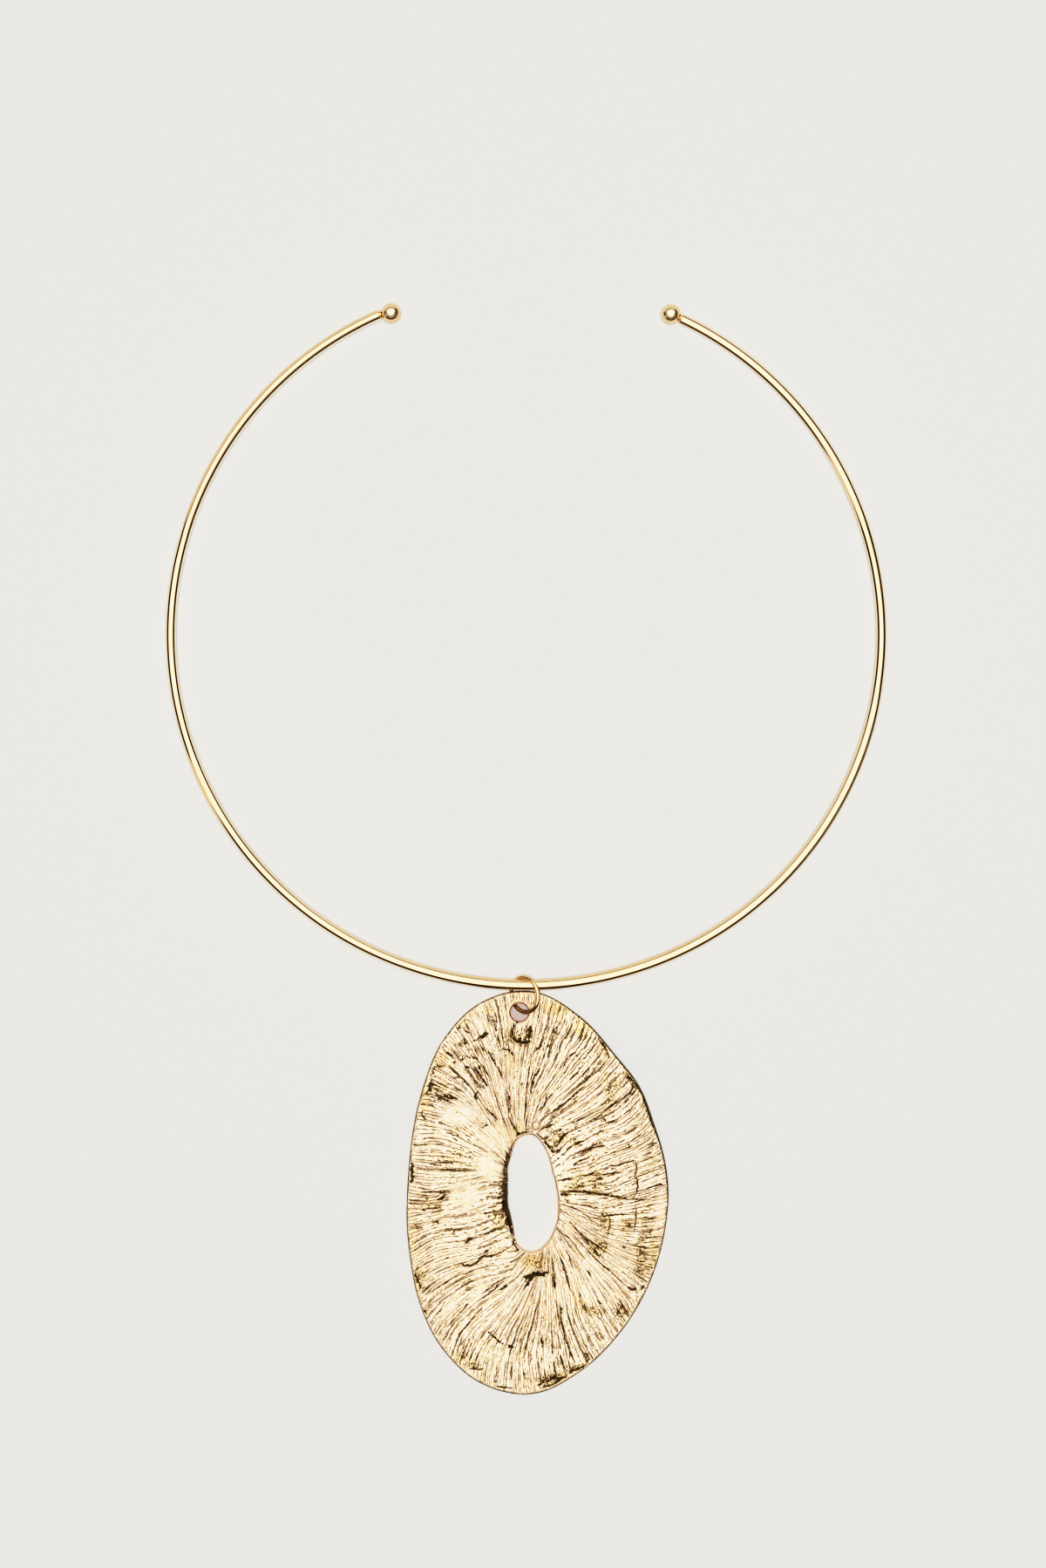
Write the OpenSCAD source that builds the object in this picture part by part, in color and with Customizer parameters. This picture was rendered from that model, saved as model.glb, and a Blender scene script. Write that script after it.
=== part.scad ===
// Cuff necklace: an open round wire collar with a ball on each end and one
// cast pendant on a jump ring. It lies face up on a flat surface at z = 0.
// The origin is the middle of the neck opening, on that surface. +Y points
// to the gap at the back of the neck, +Z points up from the surface.

/* [Collar wire] */
// Diameter of the round collar wire
wire_d = 2.0; // [1.8:0.1:2.2]
// Radius of the flatter front arc, to the middle of the wire
front_r = 70.0; // [69.5:0.1:70.5]
// Half of the angle that the front arc spans
front_half_angle = 20.7; // [18:0.1:23]
// Distance from the origin to the middle of the front arc, along +Y
front_center_y = 2.93; // [2.9:0.01:3.0]
// Radius of the two rounder side arcs, to the middle of the wire
side_r = 66.8; // [66.4:0.1:67.0]
// Length of the straight peg on each end of the wire
peg_len = 1.7; // [1.2:0.1:1.8]
// Diameter of the peg on each end of the wire
peg_d = 1.2; // [1.0:0.1:1.3]
// Slope of the collar: its front is lifted by the ring that it lies in
collar_slope = 0.49; // [0.4:0.01:0.55]

/* [End balls] */
// Diameter of the ball on each end of the wire
ball_d = 3.8; // [3.6:0.1:4.0]
// Direction of the left ball from the middle of its side arc
left_ball_angle = 111.9; // [110:0.1:113]
// How far the left ball sits inside the line of the wire
left_ball_inset = 0.55; // [0:0.05:0.6]
// Direction of the right ball from the middle of its side arc
right_ball_angle = 66.6; // [65:0.1:68]
// How far the right ball sits inside the line of the wire
right_ball_inset = 0.05; // [0:0.05:0.6]
// Clearance between a ball and the wire, and round its peg
ball_gap = 0.06; // [0.04:0.01:0.1]
// Length of the peg that shows between the wire and a ball
neck_len = 0.22; // [0.02:0.05:0.42]

/* [Jump ring] */
// Diameter of the jump ring's wire
ring_wire_d = 0.8; // [0.7:0.05:0.8]
// Radius of the jump ring, to the middle of its wire
ring_r = 3.4; // [3.35:0.05:3.45]
// Width of the cut where the ring was opened and closed
ring_cut = 0.2; // [0.1:0.05:0.3]
// Lean of the ring away from lying flat
ring_lean = 42; // [41:0.5:43]
// Direction of the ring's raised side, counted from +X
ring_turn = 10; // [9:0.5:12]
// Place of the ring's middle across the pendant
ring_x = -0.3; // [-0.35:0.05:-0.25]
// Place of the ring's middle along the pendant
ring_y = -68.9; // [-68.95:0.05:-68.85]

/* [Pendant] */
// Middle of the pendant's slot across the collar
pendant_x = 1.23; // [1.1:0.01:1.4]
// Middle of the pendant's slot along the collar
pendant_y = -106.92; // [-107.1:0.01:-106.8]
// Thickness of the cast plate round the slot and over its middle
plate_t = 1.9; // [1.7:0.1:2.2]
// Thickness of the thin lip all round the rim
rim_t = 1.1; // [1.0:0.1:1.3]
// Thickness of the smooth flat round the ring hole
hole_flat_t = 1.2; // [1.1:0.05:1.25]
// Height of the raised radial ribs
rib_h = 0.16; // [0.05:0.01:0.25]
// Height of the steps that run round the slot
step_h = 0.2; // [0.05:0.01:0.3]
// Diameter of the hole for the jump ring
hole_d = 3.5; // [3.4:0.1:3.6]
// Width of the eased edge of that hole
hole_ease = 0.3; // [0.25:0.05:0.4]
// Place of the ring hole across the collar
hole_x = -1.27; // [-1.35:0.01:-1.2]
// Place of the ring hole along the collar
hole_y = -72.3; // [-72.4:0.05:-72.2]
// Height of the pendant's back over the surface, at the ring hole
hole_lift = 1.19; // [1.1:0.01:1.25]

/* [Hidden] */

gold = "#E8C585";
pale_gold = "#F0D49B";

// Middle of the right side arc, where it is tangent to the front arc
side_x = (front_r - side_r) * sin(front_half_angle);
side_y = front_center_y - (front_r - side_r) * cos(front_half_angle);

// The ring leans so that its lowest point rests on the surface
ring_lift = ring_r * sin(ring_lean) + ring_wire_d / 2;

function turn(p, a) = [p.x * cos(a) - p.y * sin(a), p.x * sin(a) + p.y * cos(a)];
function polar(r, a) = [r * cos(a), r * sin(a)];

// Middle of each ball, in the collar's own plane
left_ball = [-side_x, side_y] + polar(side_r - left_ball_inset, left_ball_angle);
right_ball = [side_x, side_y] + polar(side_r - right_ball_inset, right_ball_angle);
// Height of the collar's plane at the origin, with the lower ball on the surface
collar_lift = ball_d / 2 + max(left_ball.y, right_ball.y) * sin(collar_slope);
// The wire stops short of each ball by the clearance and the neck
end_reach = asin((ball_d / 2 + ball_gap + neck_len) / side_r);
left_end_angle = left_ball_angle + end_reach;
right_end_angle = right_ball_angle - end_reach;
left_end = [-side_x, side_y] + polar(side_r, left_end_angle);
right_end = [side_x, side_y] + polar(side_r, right_end_angle);

// Outline of the pendant and the lie of its ribs, seen from its face. The
// directions are counted from +X round the middle of the slot, a row every
// outline_step degrees. A rib that ends at the rim in the row's direction
// is turned on by the leans on its way in to the slot.
// [direction, rim radius, slot radius, lean at the slot, lean half way]
OUTLINE = [
    [0, 26.0, 4.7, -15, -8],
    [15, 26.1, 4.6, -7, -4],
    [30, 26.8, 4.9, 9, -1],
    [45, 28.9, 5.4, 33, 5],
    [60, 31.0, 6.7, 29, 7],
    [75, 35.0, 8.9, 20, 6],
    [90, 38.6, 11.1, 13, 4],
    [105, 37.8, 10.7, 5, 0],
    [120, 34.0, 8.2, -4, -4],
    [135, 29.4, 6.7, -12, -9],
    [150, 26.2, 5.4, -16, -10],
    [165, 24.4, 4.9, -23, -5],
    [180, 24.0, 4.7, -28, -4],
    [195, 24.9, 4.9, -5, 0],
    [210, 26.9, 5.3, 28, 5],
    [225, 30.4, 5.9, 37, 6],
    [240, 34.5, 7.4, 32, 5],
    [255, 37.8, 10.3, 24, 4],
    [270, 38.5, 11.1, 14, 1],
    [285, 35.4, 9.9, 6, 0],
    [300, 32.0, 8.1, 2, 1],
    [315, 29.3, 6.7, 1, 0],
    [330, 27.4, 5.6, -4, -5],
    [345, 26.3, 5.0, -11, -10],
];
outline_step = 15;

// Deep cracks and hollows in the cast face, where the photo shows them.
// Each is a trough that follows a direction from its middle.
// [x, y from the slot's middle, direction, half length, half width, depth]
TROUGHS = [
    [-0.8, 29.3, 175, 2.6, 0.8, 0.45],
    [0.2, 31.0, 90, 1.8, 0.5, 0.40],
    [2.6, 27.5, 140, 1.4, 0.7, 0.35],
    [-5.0, 27.3, 20, 1.8, 0.6, 0.35],
    [-9.5, 30.0, 30, 1.8, 0.6, 0.45],
    [-13.8, 25.8, 20, 1.6, 0.6, 0.40],
    [-17.6, 24.3, 35, 1.3, 0.6, 0.35],
    [-19.5, 20.8, 75, 1.5, 0.6, 0.45],
    [-10.6, 22.6, 120, 2.6, 0.6, 0.35],
    [-18.0, 18.3, 15, 2.4, 0.5, 0.45],
    [-8.0, 15.3, 150, 1.6, 0.6, 0.35],
    [-3.0, 12.5, 110, 1.2, 0.5, 0.30],
    [4.5, 11.0, 130, 2.2, 0.6, 0.55],
    [1.0, 22.3, 100, 2.8, 0.4, 0.35],
    [8.0, 17.5, 40, 4.0, 0.4, 0.35],
    [14.5, 29.0, 125, 2.6, 0.5, 0.40],
    [14.5, 13.5, 10, 1.6, 0.6, 0.40],
    [11.0, 8.3, 12, 3.2, 0.4, 0.35],
    [12.5, 0.0, 175, 6.0, 0.5, 0.40],
    [20.2, 2.5, 92, 4.2, 0.5, 0.40],
    [13.8, -6.0, 100, 2.2, 1.2, 0.30],
    [19.0, -18.2, 35, 1.2, 0.6, 0.40],
    [0.8, -15.6, 12, 2.8, 0.8, 0.60],
    [-12.6, -13.4, 8, 1.8, 0.4, 0.35],
    [-6.0, -28.0, 140, 3.2, 0.5, 0.45],
    [4.0, -35.4, 15, 3.6, 0.8, 0.40],
    [9.0, -33.6, 30, 2.0, 0.7, 0.35],
    [-22.5, 4.0, 95, 2.4, 0.5, 0.40],
    [-17.4, 0.3, 175, 2.6, 0.5, 0.30],
    [-5.9, 5.0, 78, 4.0, 0.8, 0.35],
];

columns = 192;
face_rows = 19;
back_rows = 3;
// How the edges of the plate are eased, at the slot and at the rim
slot_rounding = 0.45;
rim_rounding = 0.3;
slot_undercut = 0.2;
rim_undercut = 0.25;
edge_h = 0.3;
// Steps between the slot and the rim
step_count = 4.2;
// Radius of the smooth flat round the ring hole, and how far it blends out
flat_reach = 2.6;
flat_blend = 4.5;

// Smooth periodic curve through the rows of a table, for one of its columns
function blend4(a, b, c, d, f) =
    0.5 * (2 * b + (c - a) * f + (2 * a - 5 * b + 4 * c - d) * f * f
    + (3 * b - a - 3 * c + d) * f * f * f);
function row_value(k, column) = OUTLINE[(k + 2 * len(OUTLINE)) % len(OUTLINE)][column];
function from_table(angle, column) =
    let (s = angle / outline_step, k = floor(s), f = s - k)
    blend4(row_value(k - 1, column), row_value(k, column),
        row_value(k + 1, column), row_value(k + 2, column), f);
function rim_radius(angle) = from_table(angle, 1);
function slot_radius(angle) = from_table(angle, 2);

function ramp(x) = let (t = min(1, max(0, x))) t * t * (3 - 2 * t);
function mix(a, b, f) = a + (b - a) * f;

// Direction of a rib at a fraction u of the way from the slot to the rim
function rib_direction(a, u) =
    a + from_table(a, 3) * (1 - u) * (1 - 2 * u) + from_table(a, 4) * 4 * u * (1 - u);

// Depth of one trough at a point, zero outside it
function trough(p, row) =
    let (q = turn([p.x - row[0], p.y - row[1]], -row[2]))
    abs(q.x) > row[3] || abs(q.y) > row[4] ? 0
    : row[5] * (1 - pow(q.x / row[3], 2)) * (1 - pow(q.y / row[4], 2));
function troughs(p) = max([for (row = TROUGHS) trough(p, row)]);

// Raised ribs that fan out from the slot, uneven in width and height
function ribs(a, u) =
    rib_h * (0.5 * sin(29 * a + 40 * sin(3 * a))
    + 0.45 * sin(47 * a + 40 * sin(2 * a + 90 * u)) * ramp(u / 0.4)
    + 0.45 * sin(71 * a + 70 * sin(5 * a)) * ramp(u / 0.6));

// Steps that run round the slot, each with a slow rise and a short fall
function step_phase(a, u) =
    step_count * u + 0.5 * sin(2 * a + 30) + 0.3 * sin(5 * a) + 0.2 * sin(11 * a) + 1;
function steps(a, u) =
    let (s = step_phase(a, u), f = s - floor(s))
    step_h * (f < 0.8 ? f / 0.8 : (1 - f) / 0.2);

// Thickness of the plate at a point on the rib that ends in direction a,
// a fraction u of the way from the slot to the rim
function thickness(a, u, p) =
    let (
        body = mix(plate_t - slot_rounding / 2, plate_t, ramp(u / 0.2)),
        fall = mix(body, rim_t, ramp((u - 0.75) / 0.25)),
        edge = ramp(u / 0.08) * ramp((1 - u) / 0.06),
        relief = (ribs(a, u) + steps(a, u) - step_h / 2 - troughs(p)) * edge,
        to_hole = norm([p.x + pendant_x - hole_x, p.y + pendant_y - hole_y]),
        near = ramp((to_hole - flat_reach) / flat_blend)
    )
    mix(hole_flat_t, fall + relief, near);

// The face's rows crowd together at the slot and at the rim, whose edges
// are rounded over the first and the last of them
function face_share(i) = let (s = i / (face_rows - 1)) s - 0.07 * sin(360 * s);
function plate_point(a, u) =
    let (b = rib_direction(a, u)) polar(mix(slot_radius(b), rim_radius(b), u), b);
function face_point(i, a) =
    let (
        u = face_share(i),
        p = plate_point(a, u),
        rounding = i == 0 ? slot_rounding : i == face_rows - 1 ? rim_rounding : 0
    )
    [p.x, p.y, thickness(a, u, p) - rounding];
function back_point(i, a) =
    let (
        u = 1 - i / (back_rows - 1),
        p = plate_point(a, u),
        inset = mix(slot_undercut, -rim_undercut, u)
    )
    [p.x * (1 + inset / norm(p)), p.y * (1 + inset / norm(p)), 0];
function edge_point(a, u) = let (p = plate_point(a, u)) [p.x, p.y, edge_h];

// One closed loop of points for each direction: slot edge, face, rim, back
function section(a) = concat(
    [edge_point(a, 0)],
    [for (i = [0 : face_rows - 1]) face_point(i, a)],
    [edge_point(a, 1)],
    [for (i = [0 : back_rows - 1]) back_point(i, a)]
);
loop_len = face_rows + back_rows + 2;

module plate() {
    points = [for (c = [0 : columns - 1]) each section(360 * c / columns)];
    faces = [
        for (c = [0 : columns - 1], i = [0 : loop_len - 1])
        let (
            c2 = (c + 1) % columns,
            i2 = (i + 1) % loop_len,
            a = c * loop_len + i,
            b = c * loop_len + i2,
            d = c2 * loop_len + i,
            e = c2 * loop_len + i2
        )
        each [[a, b, e], [a, e, d]]
    ];
    polyhedron(points, faces, convexity = 12);
}

// Moves what is drawn flat in the collar's plane to the collar's real slope
module on_collar() {
    translate([0, 0, collar_lift]) rotate([-collar_slope, 0, 0]) children();
}

module wire_arc(center, r, from, to) {
    translate([center.x, center.y, 0])
        rotate([0, 0, from])
            rotate_extrude(angle = to - from, $fn = 180)
                translate([r, 0]) circle(d = wire_d, $fn = 32);
}

// A side arc on the right, from the front arc round to its open end
module side_arc(end_angle) {
    wire_arc([side_x, side_y], side_r, -90 + front_half_angle, end_angle);
}

// A short core inside the wire where two arcs meet, which joins them
module joint_core(side) {
    translate([0, front_center_y, 0])
        rotate([0, 0, 270 + side * front_half_angle]) translate([front_r, 0, 0])
            rotate([90, 0, 0]) cylinder(d = 0.75 * wire_d, h = wire_d / 2, center = true, $fn = 32);
}

// A straight rod from one point of the collar's plane towards another
module rod(from, to, d, start, len) {
    way = atan2(to.y - from.y, to.x - from.x);
    translate([from.x, from.y, 0])
        rotate([0, 0, way]) rotate([0, 90, 0])
            translate([0, 0, start]) cylinder(d = d, h = len, $fn = 32);
}

module collar_wire() {
    color(gold) on_collar() union() {
        wire_arc([0, front_center_y], front_r, 270 - front_half_angle, 270 + front_half_angle);
        side_arc(right_end_angle);
        mirror([1, 0, 0]) side_arc(180 - left_end_angle);
        joint_core(1);
        joint_core(-1);
        rod(left_end, left_ball, peg_d, -1, peg_len + 1);
        rod(right_end, right_ball, peg_d, -1, peg_len + 1);
    }
}

// A ball drilled half through, so that it sits on the peg of the wire
module end_ball(center, wire_end) {
    reach = norm(center - wire_end);
    color(pale_gold) on_collar() difference() {
        translate([center.x, center.y, 0]) sphere(d = ball_d, $fn = 64);
        rod(wire_end, center, peg_d + 2 * ball_gap, -2, peg_len + 0.1 + 2);
    }
}

module bead_left() {
    end_ball(left_ball, left_end);
}

module bead_right() {
    end_ball(right_ball, right_end);
}

module jump_ring() {
    cut_angle = 2 * asin(ring_cut / 2 / ring_r);
    color(gold)
        translate([ring_x, ring_y, ring_lift])
            rotate([0, 0, ring_turn]) rotate([0, -ring_lean, 0])
                rotate([0, 0, 121 + cut_angle / 2])
                    rotate_extrude(angle = 360 - cut_angle, $fn = 64)
                        translate([ring_r, 0]) circle(d = ring_wire_d, $fn = 24);
}

module hole_tool() {
    far = 6;
    translate([hole_x - pendant_x, hole_y - pendant_y, 0]) union() {
        translate([0, 0, -far]) cylinder(d = hole_d, h = 2 * far, $fn = 48);
        translate([0, 0, hole_flat_t - hole_ease])
            cylinder(d1 = hole_d, d2 = hole_d + 2 * far, h = far, $fn = 48);
        translate([0, 0, hole_ease - far])
            cylinder(d1 = hole_d + 2 * far, d2 = hole_d, h = far, $fn = 48);
    }
}

// The ring lifts the pendant's top, and the back of its rim rests on the
// surface at the other end
module pendant() {
    reach = rim_radius(270) - rim_undercut;
    slope = asin(hole_lift / (reach + hole_y - pendant_y));
    color(gold)
        translate([pendant_x, pendant_y, reach * sin(slope)]) rotate([slope, 0, 0])
            difference() {
                plate();
                hole_tool();
            }
}

collar_wire();
bead_left();
bead_right();
jump_ring();
pendant();
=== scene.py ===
import math

import bmesh
import bpy
import numpy as np
from mathutils import Matrix, Vector


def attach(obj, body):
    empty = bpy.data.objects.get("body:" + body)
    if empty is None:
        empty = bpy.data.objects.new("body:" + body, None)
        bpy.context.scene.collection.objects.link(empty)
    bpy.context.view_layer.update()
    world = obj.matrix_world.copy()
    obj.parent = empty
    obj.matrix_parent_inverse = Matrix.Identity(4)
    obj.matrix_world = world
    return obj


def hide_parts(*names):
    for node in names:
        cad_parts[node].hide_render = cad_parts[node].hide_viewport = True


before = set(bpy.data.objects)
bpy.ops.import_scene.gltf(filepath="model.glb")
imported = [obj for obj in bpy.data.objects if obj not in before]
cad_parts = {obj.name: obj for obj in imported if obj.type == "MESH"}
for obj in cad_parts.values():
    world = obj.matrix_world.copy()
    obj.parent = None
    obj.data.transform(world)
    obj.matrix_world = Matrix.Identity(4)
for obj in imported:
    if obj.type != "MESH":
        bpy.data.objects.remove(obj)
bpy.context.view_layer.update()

body = "root"
scene = bpy.context.scene

# Camera. The necklace lies face up on a table and is seen from straight
# above, with the gap of the collar at the top of the picture.
photo_w, photo_h = 1200, 1799
photo_px_per_m = 6000.0
collar_middle_px = (603.6, 727.5)
camera_height = 1.2
sharp_height = 0.002
sensor = 36.0

aim_x = (photo_w / 2 - collar_middle_px[0]) / photo_px_per_m
aim_y = (collar_middle_px[1] - photo_h / 2) / photo_px_per_m
camera_data = bpy.data.cameras.new("camera")
camera_data.sensor_fit = "VERTICAL"
camera_data.sensor_height = sensor
camera_data.lens = sensor * (camera_height - sharp_height) / (photo_h / photo_px_per_m)
camera_data.clip_start = 0.01
camera_data.clip_end = 50
camera = bpy.data.objects.new("camera", camera_data)
camera.location = (aim_x, aim_y, camera_height)
scene.collection.objects.link(camera)
scene.camera = camera

# Light. A very wide soft sky over the table, brightest in its middle, with a
# lamp in it for the paper. The room is dark but for a pale wall behind the
# collar's gap and a narrow slit, which polished metal shows at its sides.
sky_middle = 1.85
sky_rim = 0.9
sky_fade = (0.50, 0.88)
sky_edge = (0.50, 0.62)
wall_level = 0.9
wall_top = (0.46, 0.26)
wall_toward = math.radians(103)
wall_side = (0.42, 0.72)
slit_level = 0.9
slit_toward = math.radians(206)
slit_side = (0.990, 0.997)
room_level = 0.07
backdrop = 0.95
sky_on_paper = 0.12
lamp_height = 2.4
lamp_across = 0.6
lamp_watts = 54.0


def feed(tree, socket, value):
    if isinstance(value, bpy.types.NodeSocket):
        tree.links.new(value, socket)
    else:
        socket.default_value = value


def add(tree, kind, feeds={}, **settings):
    made = tree.nodes.new(kind)
    for name, value in settings.items():
        setattr(made, name, value)
    for name, value in feeds.items():
        feed(tree, made.inputs[name], value)
    return made


def calc(tree, operation, *values, clamp=False):
    feeds = dict(enumerate(values))
    return add(tree, "ShaderNodeMath", feeds, operation=operation, use_clamp=clamp).outputs[0]


def smooth_between(tree, value, low, high):
    feeds = {"Value": value, "From Min": low, "From Max": high}
    return add(tree, "ShaderNodeMapRange", feeds, interpolation_type="SMOOTHSTEP").outputs["Result"]


def mix(tree, share, low, high):
    return add(tree, "ShaderNodeMix", {0: share, 2: low, 3: high}).outputs[0]


def split(tree, vector):
    return add(tree, "ShaderNodeSeparateXYZ", {0: vector}).outputs


def join(tree, x, y, z):
    return add(tree, "ShaderNodeCombineXYZ", {0: x, 1: y, 2: z}).outputs[0]


world = bpy.data.worlds.new("studio")
scene.world = world
world.use_nodes = True
tree = world.node_tree
tree.nodes.clear()
across, along, up = split(tree, add(tree, "ShaderNodeTexCoord").outputs["Generated"])
slant = calc(tree, "SUBTRACT", 1.0, calc(tree, "MULTIPLY", up, up))
level_way = calc(tree, "SQRT", calc(tree, "MAXIMUM", slant, 1e-6))


def facing(angle, side):
    """1 where the room is seen towards an angle, 0 well aside of it"""
    toward = calc(tree, "MULTIPLY", along, math.sin(angle))
    toward = calc(tree, "MULTIPLY_ADD", across, math.cos(angle), toward)
    return smooth_between(tree, calc(tree, "DIVIDE", toward, level_way), *side)


wall = calc(tree, "MULTIPLY", facing(wall_toward, wall_side), smooth_between(tree, up, *wall_top))
low_light = mix(tree, wall, room_level, wall_level)
low_light = mix(tree, facing(slit_toward, slit_side), low_light, slit_level)
sky = mix(tree, smooth_between(tree, up, *sky_fade), sky_rim, sky_middle)
level = mix(tree, smooth_between(tree, up, *sky_edge), low_light, sky)
ray = add(tree, "ShaderNodeLightPath").outputs
level = mix(tree, ray["Is Diffuse Ray"], level, calc(tree, "MULTIPLY", level, sky_on_paper))
level = mix(tree, ray["Is Camera Ray"], level, backdrop)
background = add(tree, "ShaderNodeBackground", {"Color": join(tree, level, level, level)})
out = add(tree, "ShaderNodeOutputWorld", {"Surface": background.outputs[0]})

lamp_data = bpy.data.lights.new("soft_box", "AREA")
lamp_data.shape = "DISK"
lamp_data.size = lamp_across
lamp_data.energy = lamp_watts
lamp = bpy.data.objects.new("soft_box", lamp_data)
lamp.location = (0, 0, lamp_height)
lamp.visible_camera = False
lamp.visible_glossy = False
scene.collection.objects.link(lamp)

# The picture's tones: true in the middle, held back in the lights as film
# does, and a little deeper in the darks. Light going in, light coming out.
tones = [(0.0, 0.0), (0.07, 0.03), (0.16, 0.125), (0.35, 0.33), (0.7, 0.70), (0.95, 0.84),
         (1.25, 0.92), (1.6, 0.956), (2.0, 0.98)]
brightest = tones[-1][0]

view = scene.view_settings
view.view_transform = "Standard"
view.look = "None"
view.use_curve_mapping = True
view.curve_mapping.white_level = (brightest, brightest, brightest)
view.curve_mapping.extend = "HORIZONTAL"
curve = view.curve_mapping.curves[3]
for point, (light, shown) in zip((curve.points[0], curve.points[-1]), (tones[0], tones[-1])):
    point.location = (light / brightest, shown)
for light, shown in tones[1:-1]:
    curve.points.new(light / brightest, shown)
view.curve_mapping.update()

# Table. A plain pale sheet of paper that everything rests on. The pendant
# shades it inside the ring hole, where it is dimmer and pinker.
table_size = 8.0
table_colour = (0.825, 0.81, 0.757, 1)
shaded_colour = (0.56, 0.47, 0.43, 1)
shade_place = (-0.00127, -0.0723, 0)
shade_reach = (0.0022, 0.0026)
paper_roughness = 0.95
paper_gloss = 0.1


def blend(tree, share, low, high):
    return add(tree, "ShaderNodeMix", {0: share, 6: low, 7: high}, data_type="RGBA").outputs[2]


mesh = bpy.data.meshes.new("table")
half = table_size / 2
mesh.from_pydata([(-half, -half, 0), (half, -half, 0), (half, half, 0), (-half, half, 0)],
                 [], [(0, 1, 2, 3)])
table = bpy.data.objects.new("table", mesh)
scene.collection.objects.link(table)
paper = bpy.data.materials.new("pale_paper")
paper.use_nodes = True
tree = paper.node_tree
skin = tree.nodes["Principled BSDF"]
place = add(tree, "ShaderNodeTexCoord").outputs["Object"]
away = add(tree, "ShaderNodeVectorMath", {0: place, 1: shade_place}, operation="DISTANCE")
open_share = smooth_between(tree, away.outputs["Value"], *shade_reach)
tree.links.new(blend(tree, open_share, shaded_colour, table_colour), skin.inputs["Base Color"])
skin.inputs["Roughness"].default_value = paper_roughness
skin.inputs["Specular IOR Level"].default_value = paper_gloss
mesh.materials.append(paper)

# Collar wire. A hard round brass wire, drawn, polished and gold plated, bent
# into an open ring of three arcs: a flatter front and two rounder sides. Each
# end is turned down to a short peg, soldered at its root, that carries a ball.
wire_r = 0.001
front_r = 0.070
front_half = math.radians(20.7)
front_middle_y = 0.00293
side_r = 0.0668
collar_slope = math.radians(0.49)
peg_r = 0.0006
peg_len = 0.0017
end_easing = 0.00018
# Solder round the root of each peg: way from the wire's end, radius there
solder = [(0.0004, 0.0006), (0.00036, 0.00072), (0.00028, 0.00078), (0, 0.00082)]
ball_r = 0.0019
ball_gap = 0.00006
neck_len = 0.00022
left_ball_angle, left_ball_inset = math.radians(111.9), 0.00055
right_ball_angle, right_ball_inset = math.radians(66.6), 0.00005
wire_step = 0.0006
wire_sides = 48
wire_gold = (1.0, 0.73, 0.41, 1)
wire_tarnish = (0.85, 0.56, 0.27, 1)
# Painted reflection and shade on the wire, ring and balls: the pale and tan tints below each charted
# line, the dark of the line itself, and how soft and wavering its edges are
painted_pale_tint = (1.0, 0.84, 0.66, 1)
painted_tan_tint = (0.90, 0.62, 0.34, 1)
painted_dark_tint = (0.18, 0.11, 0.05, 1)
painted_line_blur = math.radians(4)
painted_line_waver = math.radians(7)
waver_cell = 60.0
wire_rough = (0.09, 0.16)
wire_draw_depth = 0.000004
# Lines of the drawing plate: noise cells round the wire, stretch along it,
# and what the fine rub marks add to them
draw_cell, draw_stretch, rub_share = 14.0, 60.0, 0.3
# Noise levels of the cloudy polish, and the most it shows of the worn gold
cloud_levels, worn_share = (0.35, 0.7), 0.35

# Painted dark lines along both sides of the wire, which stand in for reflected
# dark room and shade, and the painted pale or tan reflection below them, at angles round
# the neck from the left end to the right end. The line's start and end are tilts from the wire's top.
# angle, start, end, strength, tan share: towards the neck, then the same away from it
painted_reflection_lines = np.array([
    (90, 0, 0, 0, 1.0, 0, 0, 0, 1.0), (114.6, 0, 0, 0, 1.0, 0, 0, 0, 1.0),
    (114.7, 12, 37, 1.0, 0.0, 52, 60, 0.7, 1.0), (160, 13, 38, 1.0, 0.0, 52, 60, 0.7, 1.0),
    (164, 19, 47, 1.0, 0.0, 18, 43, 1.0, 0.2), (185, 21, 45, 1.0, 0.1, 18, 43, 1.0, 0.2),
    (199, 22, 44, 1.0, 0.2, 18, 44, 1.0, 0.2), (201, 24, 42, 1.0, 0.3, 20, 44, 0.0, 1.0),
    (208, 29, 38, 0.8, 0.4, 20, 44, 0.1, 1.0), (213, 29, 38, 0.8, 0.4, 16, 44, 1.0, 0.2),
    (247, 33, 36, 0.5, 0.7, 17, 46, 1.0, 0.3), (262, 16, 42, 0.12, 1.0, 24, 56, 1.0, 0.5),
    (292, 16, 42, 0.12, 1.0, 27, 58, 1.0, 0.8), (311, 33, 37, 0.5, 0.8, 30, 60, 1.0, 0.5),
    (323, 33, 38, 0.5, 0.8, 42, 66, 1.0, 0.4), (344, 32, 40, 0.6, 0.6, 42, 66, 1.0, 0.3),
    (352, 21, 45, 1.0, 0.4, 13, 44, 1.0, 0.2), (377, 22, 50, 1.0, 0.3, 13, 44, 1.0, 0.2),
    (380, 33, 48, 0.25, 0.6, 17, 42, 0.9, 0.2), (389, 33, 48, 0.25, 0.6, 17, 38, 0.8, 0.3),
    (392, 32, 60, 1.0, 0.1, 17, 36, 0.8, 0.3), (423.8, 33, 60, 1.0, 0.1, 20, 36, 0.8, 0.3),
    (423.9, 0, 0, 0, 1.0, 0, 0, 0, 1.0), (450, 0, 0, 0, 1.0, 0, 0, 0, 1.0)])


def polar(r, angle):
    return np.array([r * math.cos(angle), r * math.sin(angle)])


def unit(way):
    return way / np.linalg.norm(way)


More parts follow.
